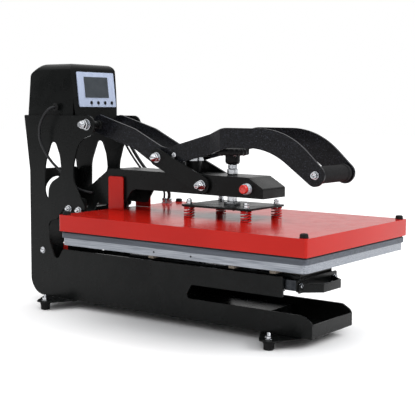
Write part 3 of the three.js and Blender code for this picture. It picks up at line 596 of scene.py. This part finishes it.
def dome(mesh, where, radius, bottom, height):
    """A domed end, as on a cap nut or a round-headed screw."""
    steps = 8
    profile = [(0, bottom), (radius, bottom)]
    for step in range(1, steps):
        angle = step / steps * math.pi / 2
        profile.append((radius * math.cos(angle), bottom + height * math.sin(angle)))
    turn(mesh, where, [*profile, (0, bottom + height)], 32)


def thread(mesh, where, radius, bottom, top, pitch=1.5):
    """A threaded stud as a row of ridges, with a chamfered tip."""
    root = radius * 0.88
    profile = [(0, bottom), (root, bottom)]
    turns = max(1, int((top - bottom - 0.8) / pitch))
    for i in range(turns):
        start = bottom + i * pitch
        profile += [(radius, start + pitch * 0.45), (root, start + pitch * 0.95)]
    turn(mesh, where, [*profile, (root * 0.92, top), (0, top)], 28)


def socket_head(mesh, where, radius, bottom, height):
    """A cap screw's round head with its hexagon socket."""
    top = bottom + height
    turn(mesh, where, [
        (0, bottom),
        (radius, bottom),
        (radius, top - 0.6),
        (radius - 0.6, top),
        (radius * 0.56, top),
        (radius * 0.50, top - height * 0.55),
        (0, top - height * 0.6),
    ], 30)


def both_sides(y, z):
    """Placements on both sides of the press whose +Z points outwards from the middle plane."""
    return [facing(Vector((0, y, z)), (side, 0, 0)) for side in SIDES]


def reach_of(node):
    """How far a node that is centred on the middle plane reaches to the side, in millimetres."""
    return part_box(node)[1].x / MM


def pivot_fasteners():
    """Washers, nuts and domed caps at the three pivots of the toggle, and the spacers beside the arms."""
    outer = reach_of("side_plate_right")
    shoulder = middle("pivot_bolt")
    mesh = bmesh.new()
    for where in both_sides(shoulder.y, shoulder.z):
        washer(mesh, where, 12.5, PIN_BORE_RADIUS, outer + SEAT_GAP, WASHER_THICKNESS)
        nut(mesh, where, 10.8, outer + 2.6, 8)
        nut(mesh, where, 9.4, outer + 11.2, 6.5)
        thread(mesh, where, 6.6, outer + 17.6, reach_of("pivot_bolt") + 0.5)
    piece("shoulder_nuts", mesh, body_of("pivot_bolt"), STEEL, 0.25)

    plate_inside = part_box("side_plate_right")[0].x / MM
    arm_face = reach_of("handle_pin") - 1.6
    mesh = bmesh.new()
    for where in both_sides(shoulder.y, shoulder.z):
        turn(mesh, where, [
            (PIN_BORE_RADIUS, arm_face),
            (10, arm_face),
            (10, arm_face + 4),
            (8.6, arm_face + 5),
            (8.6, plate_inside - 5),
            (12, plate_inside - 4),
            (12, plate_inside - 0.3),
            (PIN_BORE_RADIUS, plate_inside - 0.3),
        ])
    piece("shoulder_spacers", mesh, body_of("pivot_bolt"), BLACK_PAINT)

    link_face = reach_of("link_right")
    toe_reach = reach_of("link_pin") - link_face
    for name, node, body in (
        ("elbow_nuts", "handle_pin", body_of("link_left")),
        ("toe_nuts", "link_pin", body_of("link_pin")),
    ):
        spot = middle(node)
        mesh = bmesh.new()
        for where in both_sides(spot.y, spot.z):
            washer(mesh, where, 11.2, PIN_BORE_RADIUS, link_face + SEAT_GAP, 1.8)
            nut(mesh, where, 9.8, link_face + 2.2, 6.4)
            nut(mesh, where, 8.8, link_face + 9.0, 4.2)
            dome(mesh, where, 7.4, link_face + 13.0, toe_reach - 12.0)
        piece(name, mesh, body, STEEL, 0.25)


def hinge_tube():
    """The beam's painted hinge tube, with collars beside the beam and at its ends."""
    spot = middle("hinge_shaft")
    half = reach_of("hinge_shaft")
    beam_side = size("beam").x / 2
    mesh = bmesh.new()
    turn(mesh, facing(spot, (1, 0, 0)), [
        (0, -half),
        (8, -half),
        (8, -beam_side - 6),
        (7.4, -beam_side - 5),
        (7.4, beam_side + 5),
        (8, beam_side + 6),
        (8, half),
        (0, half),
    ], 40)
    piece("hinge_tube", mesh, body_of("hinge_shaft"), BLACK_PAINT, 0, ("hinge_shaft",))


def painted_hole_shade_discs():
    """Dark discs of painted shade that stand for the threaded holes in the sides of the lower platen."""
    side_x = reach_of("lower_platen")
    spot = middle("lower_platen")
    mesh = bmesh.new()
    for y in PLATEN_HOLES:
        for where in both_sides(at(0, y, 0).y, spot.z):
            turn(mesh, where, [
                (0, side_x + 0.02),
                (HOLE_RADIUS, side_x + 0.02),
                (1.7, side_x + 0.12),
                (0, side_x + 0.12),
            ], 20)
    # the black discs are painted shade that stands for the holes' dark insides
    piece("painted_hole_shade_discs", mesh, body_of("lower_platen"), BLACK_PLASTIC, 0)


def frame_fasteners():
    """Bolts of the hinge blocks and the rear panel, and the nuts that hold the feet."""
    outer = reach_of("side_plate_right")
    hinge = middle("hinge_shaft")
    mesh = bmesh.new()
    for y, z in HINGE_BOLTS:
        for where in both_sides(hinge.y + y * MM, hinge.z + z * MM):
            washer(mesh, where, 8.4, 4, outer + SEAT_GAP, 1.4)
            nut(mesh, where, 7, outer + 1.7, 5)
            thread(mesh, where, 3.8, outer + 6.6, outer + 11)
    piece("hinge_block_bolts", mesh, body_of("hinge_shaft"), STEEL, 0.2)

    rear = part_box("rear_panel")[0]
    screw_z = middle("power_inlet").z + REAR_SCREW_RISE * MM
    mesh = bmesh.new()
    for where in both_sides(rear.y - REAR_SCREW_INSET * MM, screw_z):
        washer(mesh, where, 7.6, 3, outer + 0.15, 0.8)
        dome(mesh, where, 6.6, outer + 0.95, 3.8)
    piece("rear_panel_screws", mesh, body_of("rear_panel"), STEEL)

    bar_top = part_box("foot_bar_front")[1].z / MM
    mesh = bmesh.new()
    for row in ("front", "rear"):
        for side in ("left", "right"):
            spot = middle(f"foot_{row}_{side}")
            where = facing(Vector((spot.x, spot.y, 0)), (0, 0, 1))
            washer(mesh, where, 8.2, 4, bar_top + 0.1, 1.4)
            nut(mesh, where, 7, bar_top + 1.6, 5.4)
            thread(mesh, where, 4, bar_top + 7, bar_top + 14)
    piece("foot_nuts", mesh, body_of("foot_bar_front"), STEEL, 0.2)


def rubber_feet():
    """Rubber feet with a rolled lower edge, a waist and a raised collar under the bar."""
    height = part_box("foot_front_left")[1].z / MM
    for row in ("front", "rear"):
        for side in ("left", "right"):
            node = f"foot_{row}_{side}"
            spot = middle(node)
            mesh = bmesh.new()
            turn(mesh, facing(Vector((spot.x, spot.y, 0)), (0, 0, 1)), [
                (0, 0.8),
                (6.4, 0.8),
                (7.0, 0),
                (8.4, 0),
                (9.5, 0.5),
                (10.0, 1.6),
                (10.6, height - 5.2),
                (11.2, height - 4.4),
                (11.5, height - 3.4),
                (11.5, height - 0.9),
                (11.0, height - 0.2),
                (0, height - 0.2),
            ], 48)
            piece(f"rubber_{node}", mesh, body_of(node), RUBBER, 0.2, (node,))


def handle_fasteners():
    """Cap screws at the grip, and the screws that hold the armature's bar between the arms."""
    grip = middle("grip")
    outer = reach_of("handle_arm_right")
    mesh = bmesh.new()
    for where in both_sides(grip.y, grip.z):
        washer(mesh, where, 8.2, 4, outer + 0.15, 1.5)
        socket_head(mesh, where, 6.6, outer + 1.7, 6.5)
    piece("grip_screws", mesh, body_of("grip"), STEEL, 0.2)

    bar = middle("armature_bar")
    arm_face = reach_of("handle_pin") - 2
    mesh = bmesh.new()
    for where in both_sides(bar.y + ARMATURE_SCREW[0] * MM, bar.z + ARMATURE_SCREW[1] * MM):
        socket_head(mesh, where, 5.6, arm_face + 0.15, 4.6)
    piece("armature_bar_screws", mesh, body_of("armature_bar"), STEEL, 0.2)

    armature = middle("armature")
    bar_top = armature.z / MM + ARMATURE_NUT_RISE
    mesh = bmesh.new()
    for side in SIDES:
        where = facing(Vector((side * ARMATURE_NUT_X * MM, armature.y, 0)), (0, 0, 1))
        washer(mesh, where, 6.5, 3, bar_top + 0.1, 1)
        nut(mesh, where, 5.5, bar_top + 1.2, 4)
    piece("armature_nuts", mesh, body_of("armature"), STEEL, 0.2)


def foam_grip():
    """A foam sleeve with rolled ends, soft dents and a stop ring near one end."""
    grip = middle("grip")
    half = size("grip").x / 2
    where = facing(grip, (1, 0, 0))
    profile = [(0, -half), (12, -half), (15.4, -half + 0.6), (16.6, -half + 2)]
    profile.append((GRIP_RADIUS, -half + 4))
    steps = 26
    start, end = -half + 4, half - 18
    for step in range(1, steps):
        along = step / steps
        dent = 0.22 * abs(math.sin(along * math.pi * GRIP_DENTS))
        profile.append((GRIP_RADIUS - dent, start + (end - start) * along))
    profile += [
        (GRIP_RADIUS, end),
        (17.1, half - 16.4),
        (18.0, half - 15.8),
        (18.5, half - 14.6),
        (18.5, half - 9.6),
        (18.0, half - 8.4),
        (16.8, half - 7.4),
        (16.8, half - 3),
        (15.6, half - 0.8),
        (12, half),
        (0, half),
    ]
    mesh = bmesh.new()
    turn(mesh, where, profile, 56)
    piece("foam_grip", mesh, body_of("grip"), FOAM, 0, ("grip",))


def cover_caps():
    """Black rubber caps over the screws at the cover's corners."""
    low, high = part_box("platen_cover")
    inset = CAP_INSET * MM
    mesh = bmesh.new()
    for x in (low.x + inset, high.x - inset):
        for y in (low.y + inset, high.y - inset):
            turn(mesh, facing(Vector((x, y, high.z)), (0, 0, 1)), [
                (0, 0.05),
                (8.0, 0.05),
                (8.3, 0.8),
                (7.9, 1.6),
                (7.7, 5.2),
                (7.1, 6.8),
                (5.8, 7.7),
                (3.0, 8.0),
                (2.4, 7.2),
                (0, 7.2),
            ], 40)
    piece("cover_corner_caps", mesh, body_of("platen_cover"), RUBBER, 0)


def die_spring(number):
    """A red compression spring of flat wire, with closed ends."""
    node = f"pressure_spring_{number}"
    low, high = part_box(node)
    spot = (low + high) / 2
    bottom, top = low.z / MM, high.z / MM
    outer = size(node).x / 2
    steps = 40
    count = int(SPRING_COILS * steps)
    open_coils = SPRING_COILS - 2 * SPRING_CLOSED_COILS
    mesh = bmesh.new()
    rings = []
    for i in range(count + 1):
        angle = 2 * math.pi * i / steps
        along = min(1, max(0, (i / steps - SPRING_CLOSED_COILS) / open_coils))
        height = bottom + SPRING_WIRE * 0.5 + (top - bottom - SPRING_WIRE) * along
        cosine, sine = math.cos(angle), math.sin(angle)
        thick = SPRING_WIRE * (0.5 if 0 < i < count else 0.16)
        corners = [
            (SPRING_BORE_RADIUS, -thick),
            (outer - 0.5, -thick),
            (outer, -thick * 0.6),
            (outer, thick * 0.6),
            (outer - 0.5, thick),
            (SPRING_BORE_RADIUS, thick),
        ]
        rings.append([
            mesh.verts.new(Vector((
                spot.x + radius * cosine * MM,
                spot.y + radius * sine * MM,
                (height + rise) * MM,
            )))
            for radius, rise in corners
        ])
    for first, second in zip(rings, rings[1:]):
        for i in range(len(first)):
            following = (i + 1) % len(first)
            mesh.faces.new((first[i], first[following], second[following], second[i]))
    mesh.faces.new(rings[0][::-1])
    mesh.faces.new(rings[-1])
    made = piece(f"die_spring_{number}", mesh, body_of(node), RED_SPRING, 0, (node,))
    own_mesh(made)


def spring_bolts():
    """A stud through each spring, with its nuts above the plate, and the sleeve's nuts below the plate."""
    plate_low, plate_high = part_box("spring_plate")
    cover_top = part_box("platen_cover")[1].z / MM
    plate_bottom, plate_top = plate_low.z / MM, plate_high.z / MM
    studs, nuts, posts = bmesh.new(), bmesh.new(), bmesh.new()
    for number in range(1, 5):
        spot = middle(f"pressure_spring_{number}")
        where = facing(Vector((spot.x, spot.y, 0)), (0, 0, 1))
        turn(posts, where, [
            (0, cover_top + 0.1),
            (5.4, cover_top + 0.1),
            (5.4, cover_top + 2.6),
            (4.2, cover_top + 3.2),
            (4.2, plate_bottom - 4),
            (0, plate_bottom - 4),
        ], 28)
        washer(nuts, where, 7.4, 4, plate_top + SEAT_GAP, 1.1)
        nut(nuts, where, 6.4, plate_top + 1.4, 4.8)
        nut(nuts, where, 5.8, plate_top + 6.6, 3.6)
        dome(studs, where, 4.4, plate_top + 10.1, 2.4)
    upper = body_of("platen_cover")
    piece("spring_posts", posts, upper, STEEL, 0)
    piece("spring_nuts", nuts, upper, STEEL, 0.2)
    piece("spring_studs", studs, upper, STEEL, 0)
    sleeve = middle("pressure_sleeve")
    mesh = bmesh.new()
    for x in SIDES:
        for y in SIDES:
            offset = Vector((x, y, 0)) * SLEEVE_SCREW_OFFSET * MM
            spot = Vector((sleeve.x, sleeve.y, plate_low.z - 0.1 * MM)) + offset
            where = facing(spot, (0, 0, -1))
            nut(mesh, where, 4.8, 0, 4)
            thread(mesh, where, 2.6, 4, 8)
    piece("sleeve_screws", mesh, body_of("spring_plate"), STEEL, 0.15)


def pressure_knob():
    """A fluted hand knob on a tapered hub, with screws round its underside."""
    low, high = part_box("pressure_knob")
    spot = middle("pressure_knob")
    bottom, top = low.z / MM, high.z / MM
    disc = top - KNOB_THICKNESS
    rim = size("pressure_knob").x / 2 - FLUTE_DEPTH
    where = facing(Vector((spot.x, spot.y, 0)), (0, 0, 1))
    mesh = bmesh.new()
    turn(mesh, where, [
        (KNOB_BORE_RADIUS, bottom),
        (11, bottom),
        (13.6, bottom + 1.2),
        (15.2, bottom + 4),
        (15.5, bottom + 8),
        (15.5, disc + 0.5),
        (KNOB_BORE_RADIUS, disc + 0.5),
    ], 48)
    flutes, per_flute = 20, 8
    sides = flutes * per_flute
    profile = [
        (KNOB_BORE_RADIUS, disc),
        (rim - 4.2, disc),
        (rim - 0.8, disc + 1.4),
        (rim, disc + 3.2),
        (rim, top - 3.2),
        (rim - 1, top - 1.2),
        (rim - 4.2, top),
        (11, top),
        (9.5, top - 1.6),
        (KNOB_BORE_RADIUS, top - 1.6),
    ]
    rings = []
    for radius, height in profile:
        ring = []
        for i in range(sides):
            angle = 2 * math.pi * i / sides
            swell = FLUTE_DEPTH * math.cos(angle * flutes) if radius > rim - 2 else 0
            point = Vector(((radius + swell) * math.cos(angle), (radius + swell) * math.sin(angle), height))
            ring.append(mesh.verts.new(where @ (point * MM)))
        rings.append(ring)
    for first, second in zip(rings, [*rings[1:], rings[0]]):
        for i in range(sides):
            following = (i + 1) % sides
            mesh.faces.new((first[i], first[following], second[following], second[i]))
    knob = body_of("pressure_knob")
    piece("fluted_knob", mesh, knob, BLACK_PLASTIC, 0, ("pressure_knob",))
    mesh = bmesh.new()
    for i in range(4):
        angle = math.pi / 4 + i * math.pi / 2
        offset = Vector((math.cos(angle), math.sin(angle), 0)) * KNOB_SCREW_CIRCLE * MM
        under = facing(Vector((spot.x, spot.y, (disc - 0.1) * MM)) + offset, (0, 0, -1))
        dome(mesh, under, 3, 0, 2)
    piece("knob_screws", mesh, knob, STEEL, 0)


def spindle_threads():
    """The lock nut under the knob, and the bright ring on the beam's boss."""
    boss_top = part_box("beam")[1].z / MM
    spot = middle("pressure_spindle")
    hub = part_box("pressure_knob")[0].z / MM
    where = facing(Vector((spot.x, spot.y, 0)), (0, 0, 1))
    mesh = bmesh.new()
    nut(mesh, where, 9.9, hub - 9.8, 9.4)
    piece("lock_nut", mesh, body_of("pressure_spindle"), STEEL, 0.3)
    mesh = bmesh.new()
    turn(mesh, where, [
        (10.6, boss_top - 10),
        (11.4, boss_top - 10),
        (11.4, boss_top - 0.8),
        (11.0, boss_top - 0.2),
        (10.6, boss_top - 0.2),
    ], 48)
    piece("boss_ring", mesh, body_of("beam"), STEEL, 0)


def stop_button():
    """The push button on the beam's side: a ribbed collar and a cap with a sunk face."""
    low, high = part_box("stop_button_ring")
    spot = (low + high) / 2
    face = -low.x / MM
    root = -high.x / MM
    where = facing(Vector((0, spot.y, spot.z)), (-1, 0, 0))
    mesh = bmesh.new()
    turn(mesh, where, [
        (9.5, root),
        (11.2, root),
        (11.4, root + 0.8),
        (10.9, root + 1.4),
        (10.9, root + 3.4),
        (10.5, root + 3.8),
        (10.5, root + 4.4),
        (10.9, root + 4.8),
        (10.9, root + 6.8),
        (10.5, root + 7.2),
        (10.5, root + 7.8),
        (10.9, root + 8.2),
        (10.7, face - 0.5),
        (10.2, face),
        (9.5, face),
    ], 56)
    piece("button_collar", mesh, body_of("stop_button_ring"), WHITE_PLASTIC, 0, ("stop_button_ring",))
    cap_face = -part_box("stop_button")[0].x / MM
    cap_root = -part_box("stop_button")[1].x / MM
    mesh = bmesh.new()
    turn(mesh, where, [
        (0, cap_root),
        (9, cap_root),
        (9, cap_face - 1.4),
        (8.6, cap_face - 0.4),
        (7.8, cap_face),
        (6.9, cap_face),
        (6.3, cap_face - 0.5),
        (6.0, cap_face - 1.3),
        (0, cap_face - 1.0),
    ], 56)
    piece("button_cap", mesh, body_of("stop_button"), RED_PLASTIC, 0, ("stop_button",))


PANEL_BUTTONS = [f"panel_button_{number}" for number in range(1, 5)]


def panel_place():
    """The control panel's own frame: +Z out of its face and +Y up along it."""
    plate = size("control_panel")
    lean = math.asin((plate.y - PANEL_THICKNESS) / plate.z)
    return Matrix.Translation(middle("control_panel")) @ Matrix.Rotation(math.pi / 2 - lean, 4, "X")


def button_places():
    """How far to the side of the panel's middle each push button is, in millimetres."""
    return [(middle(node).x - middle("control_panel").x) / MM for node in PANEL_BUTTONS]


def control_panel_details():
    """The display with its bezel, and the rings and marks of the buttons."""
    where = panel_place()
    face = PANEL_THICKNESS / 2
    body = body_of("control_panel")
    mesh = bmesh.new()
    half_width, half_height = DISPLAY_HALF_WIDTH + BEZEL_LIP, DISPLAY_HALF_HEIGHT + BEZEL_LIP
    outline = rounded(half_width, half_height, 1.2, *DISPLAY_MIDDLE)
    extrude(mesh, where, outline, face + 0.02, face + 0.5)
    piece("display_bezel", mesh, body, PANEL, 0.2)
    mesh = bmesh.new()
    outline = rounded(DISPLAY_HALF_WIDTH, DISPLAY_HALF_HEIGHT, 0.8, *DISPLAY_MIDDLE)
    extrude(mesh, where, outline, face + 0.3, face + 0.9)
    piece("display_glass", mesh, body, GLASS, 0.15)
    mesh = bmesh.new()
    for x in button_places():
        extrude(mesh, where, rounded(2.2, 0.45, 0.4, x, BUTTON_MARK_ROW), face + 0.02, face + 0.12)
        turn(mesh, where @ Matrix.Translation(Vector((x, BUTTON_ROW, 0)) * MM), [
            (3.5, face + 0.02),
            (4.4, face + 0.02),
            (4.4, face + 0.25),
            (3.5, face + 0.25),
        ], 32)
    piece("button_surrounds", mesh, body, BLACK_PLASTIC, 0)


def button_caps():
    """Round-topped caps on the panel's four push buttons."""
    where = panel_place()
    for number, (node, x) in enumerate(zip(PANEL_BUTTONS, button_places()), 1):
        spot = where @ Matrix.Translation(Vector((x, BUTTON_ROW, 0)) * MM)
        mesh = bmesh.new()
        turn(mesh, spot, [(0, 0.2), (3, 0.2), (3, 2.3), (2.7, 2.85), (1.9, 3.08), (0, 3.1)], 32)
        piece(f"button_cap_{number}", mesh, body_of(node), BLACK_PLASTIC, 0, (node,))


BOX_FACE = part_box("side_plate_right")[0].x / MM - BOX_SIDE_GAP


def grommets():
    """Rubber grommets where the cables leave the control box."""
    face = reach_of("control_box")
    mesh = bmesh.new()
    for side in SIDES:
        where = facing(at(side * face, *BOX_EXIT), (side, 0, 0))
        turn(mesh, where, [
            (4.2, -1),
            (8.4, -1),
            (9.2, -0.4),
            (9.2, 0.6),
            (8.2, 1.3),
            (6.4, 1.6),
            (5.0, 3.4),
            (4.2, 3.8),
        ], 36)
    piece("box_grommets", mesh, body_of("control_box"), RUBBER, 0)


SIGNAL_ROUTE = [
    (-83.8, 435, 460.5),
    (-88.5, 435, 460.5),
    (-97, 441, 456),
    (-102, 454, 440),
    (-101, 468, 415),
    (-98, 470, 385),
    (-92, 460, 358),
    (-84, 448, 336),
    (-73, 436, 318),
    (-64, 424, 300),
    (-60, 406, 284),
    (-58, 386, 274),
    (-54, 368, 269),
    (-46.5, 358, 267),
    (-41.8, 358, 267),
]
HEATER_ROUTE = [
    (83.8, 435, 460.5),
    (88.5, 435, 460.5),
    (96, 428, 453),
    (101, 412, 432),
    (106, 394, 400),
    (112, 374, 364),
    (119, 352, 330),
    (127, 330, 302),
    (136, 310, 282),
    (144, 295, 270),
    (148, 288, 258),
    (148, 288, 240.9),
]
SENSOR_SHIFT = (-2, 13, 1)
TERMINAL = HEATER_ROUTE[-1]


def hanging_cable(name, points, diameter, stands_for=()):
    """A cable whose upper end is at the control box, built as one mesh fixed in place on no body."""
    route = smooth_route([at(*point) for point in points])
    mesh = bmesh.new()
    sweep(mesh, route, diameter / 2)
    made = mesh_object(name, mesh, CABLE, 0, 60)
    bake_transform(made)
    if stands_for:
        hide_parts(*stands_for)


def cables():
    """The signal cable on the near side, and the heater and sensor cables on the far side."""
    hanging_cable("signal_cable_jacket", SIGNAL_ROUTE, SIGNAL_DIAMETER, ("signal_cable",))
    hanging_cable("heater_cable_jacket", HEATER_ROUTE, HEATER_DIAMETER, ("heater_cable",))
    sensor = [tuple(a + b for a, b in zip(point, SENSOR_SHIFT)) for point in HEATER_ROUTE[2:]]
    start = [(BOX_FACE + 0.3, *SENSOR_EXIT), (BOX_FACE + 9, *SENSOR_EXIT)]
    hanging_cable("sensor_cable_jacket", [*start, *sensor], SENSOR_DIAMETER)


def cable_terminals():
    """Glands on the cover where the two far cables go in, with their nuts."""
    cover_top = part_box("platen_cover")[1].z / MM
    glands, nuts = bmesh.new(), bmesh.new()
    for x, y, radius in (
        (TERMINAL[0], TERMINAL[1], HEATER_DIAMETER / 2),
        (TERMINAL[0] + SENSOR_SHIFT[0], TERMINAL[1] + SENSOR_SHIFT[1], SENSOR_DIAMETER / 2),
    ):
        where = facing(at(x, y, 0), (0, 0, 1))
        washer(nuts, where, radius + 4.4, radius + 1.4, cover_top + 0.1, 1)
        turn(nuts, where, [
            (radius + 1.4, cover_top + 1.2),
            (radius + 3.4, cover_top + 1.2),
            (radius + 3.4, cover_top + 5.8),
            (radius + 1.4, cover_top + 5.8),
        ], 6)
        turn(glands, where, [
            (radius + 1.4, cover_top + 5.9),
            (radius + 2.8, cover_top + 5.9),
            (radius + 2.8, cover_top + 9.6),
            (radius + 2.2, cover_top + 11.4),
            (radius + 1.4, cover_top + 11.4),
        ], 28)
    piece("terminal_nuts", nuts, body_of("platen_cover"), STEEL, 0.2)
    piece("terminal_glands", glands, body_of("platen_cover"), STEEL, 0)


def drawer_details():
    """A third platen support, the bolts that level the platen, and the screws of the drawer's front."""
    low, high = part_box("platen_support_front")
    support = size("platen_support_front")
    mesh = bmesh.new()
    extrude(
        mesh,
        Matrix.Translation(at(0, MIDDLE_SUPPORT_Y, 0)),
        rounded(support.x / 2, support.y / 2, 1),
        low.z / MM,
        high.z / MM,
    )
    body = body_of("lower_platen")
    piece("platen_support_middle", mesh, body, INSULATOR, 0.4)
    carriage_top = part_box("drawer_carriage")[1].z / MM
    platen_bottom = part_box("lower_platen")[0].z / MM
    mesh = bmesh.new()
    for side in SIDES:
        for y in LEVELLING_BOLT_YS:
            where = facing(at(side * LEVELLING_BOLT_X, y, 0), (0, 0, 1))
            nut(mesh, where, 7.4, carriage_top + 0.3, 5)
            thread(mesh, where, 4.4, carriage_top + 5.4, platen_bottom - 6.4)
            nut(mesh, where, 7.4, platen_bottom - 6.2, 5)
            washer(mesh, where, 9, 4, platen_bottom - 1.2, 1)
    piece("levelling_bolts", mesh, body, STEEL, 0.2)
    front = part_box("drawer_front")[0]
    mesh = bmesh.new()
    for side in SIDES:
        spot = Vector((side * DRAWER_SCREW_X * MM, front.y, middle("drawer_front").z))
        where = facing(spot, (0, -1, 0))
        washer(mesh, where, 5.6, 2.4, 0.4, 0.8)
        socket_head(mesh, where, 4.4, 1.3, 3.6)
    piece("drawer_screws", mesh, body, STEEL, 0.2)


def inlet_pins():
    """The three pins in the power inlet's socket."""
    spot = middle("power_inlet")
    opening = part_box("power_inlet")[1].y
    mesh = bmesh.new()
    for x, z in INLET_PINS:
        root = Vector((spot.x + x * MM, opening - INLET_PIN_DEPTH * MM, spot.z + z * MM))
        where = facing(root, (0, 1, 0))
        extrude(mesh, where, rounded(1, 2.2, 0.5), 0, 10)
    piece("inlet_pins", mesh, body_of("power_inlet"), STEEL, 0)


pivot_fasteners()
frame_fasteners()
rubber_feet()
handle_fasteners()
foam_grip()
cover_caps()
for spring_number in range(1, 5):
    die_spring(spring_number)
spring_bolts()
pressure_knob()
spindle_threads()
stop_button()
control_panel_details()
button_caps()
grommets()
cables()
cable_terminals()
hinge_tube()
painted_hole_shade_discs()
drawer_details()
inlet_pins()
dress_cad_nodes()


# ---------------------------------------------------------------- stage, lights and camera
def camera():
    made = bpy.data.objects.new("camera", bpy.data.cameras.new("camera"))
    bpy.context.scene.collection.objects.link(made)
    azimuth, elevation, roll = -0.93324, 0.10165, 0.00667
    made.location = at(-1652.3, -1161.2, 458.3)
    forward = Vector((
        -math.sin(azimuth) * math.cos(elevation),
        math.cos(azimuth) * math.cos(elevation),
        -math.sin(elevation),
    ))
    level = forward.to_track_quat("-Z", "Y")
    made.rotation_mode = "QUATERNION"
    made.rotation_quaternion = level @ Matrix.Rotation(roll, 3, "Z").to_quaternion()
    made.data.lens = 83.68
    made.data.sensor_width = 36
    made.data.clip_start = 0.05
    made.data.clip_end = 60
    bpy.context.scene.camera = made


LIGHT_AIM = (0, 0, 0.2)
BACK_OF_STUDIO = (0.80, 0.60, 0)


def softbox(name, spot, side, power):
    light = bpy.data.lights.new(name, "AREA")
    light.shape = "SQUARE"
    light.size = side
    light.energy = power
    made = bpy.data.objects.new(name, light)
    bpy.context.scene.collection.objects.link(made)
    made.location = spot
    made.rotation_mode = "QUATERNION"
    made.rotation_quaternion = (Vector(LIGHT_AIM) - Vector(spot)).to_track_quat("-Z", "Y")


def larger(tree, first, second):
    node = tree.nodes.new("ShaderNodeMath")
    node.operation = "MAXIMUM"
    tree.links.new(first, node.inputs[0])
    tree.links.new(second, node.inputs[1])
    return node.outputs["Value"]


def studio_world():
    """Bright from above and from the back of the studio, dim elsewhere, and plain white as a backdrop."""
    world = bpy.data.worlds.new("studio")
    world.use_nodes = True
    tree = world.node_tree
    background = tree.nodes["Background"]
    direction = tree.nodes.new("ShaderNodeTexCoord").outputs["Generated"]
    parts = tree.nodes.new("ShaderNodeSeparateXYZ")
    tree.links.new(direction, parts.inputs["Vector"])
    above = mapped(tree, parts.outputs["Z"], from_low=0.12, from_high=0.6, to_low=0.16, to_high=1.55)
    away = tree.nodes.new("ShaderNodeVectorMath")
    away.operation = "DOT_PRODUCT"
    away.inputs[1].default_value = BACK_OF_STUDIO
    tree.links.new(direction, away.inputs[0])
    behind = mapped(tree, away.outputs["Value"], from_low=0.35, from_high=0.95, to_low=0, to_high=0.75)
    camera_ray = tree.nodes.new("ShaderNodeLightPath").outputs["Is Camera Ray"]
    strength = larger(tree, larger(tree, above, behind), camera_ray)
    tree.links.new(strength, background.inputs["Strength"])
    background.inputs["Color"].default_value = (1, 1, 1, 1)
    bpy.context.scene.world = world


def stage():
    mesh = bmesh.new()
    extrude(mesh, Matrix.Identity(4), rounded(FLOOR_HALF_SIDE, FLOOR_HALF_SIDE, 900), -2, -0.2)
    paper = Finish("pale_studio_paper", None, Specular_IOR_Level=0.1)
    paper.colours(paper.noise(3, 2), (0.920, 0.920, 0.925), (0.940, 0.940, 0.945))
    paper.roughness(paper.noise(20, 2), 0.85, 0.95)
    floor = mesh_object("studio_floor", mesh, paper.material)
    studio_world()
    bpy.context.scene.view_settings.view_transform = "Standard"
    softbox("key", (0.9, -3.0, 2.3), 1.6, 55)
    softbox("fill", (-2.7, -2.1, 1.9), 1.6, 10)
    softbox("top", (0.1, 0.4, 3.6), 3.4, 20)


camera()
stage()
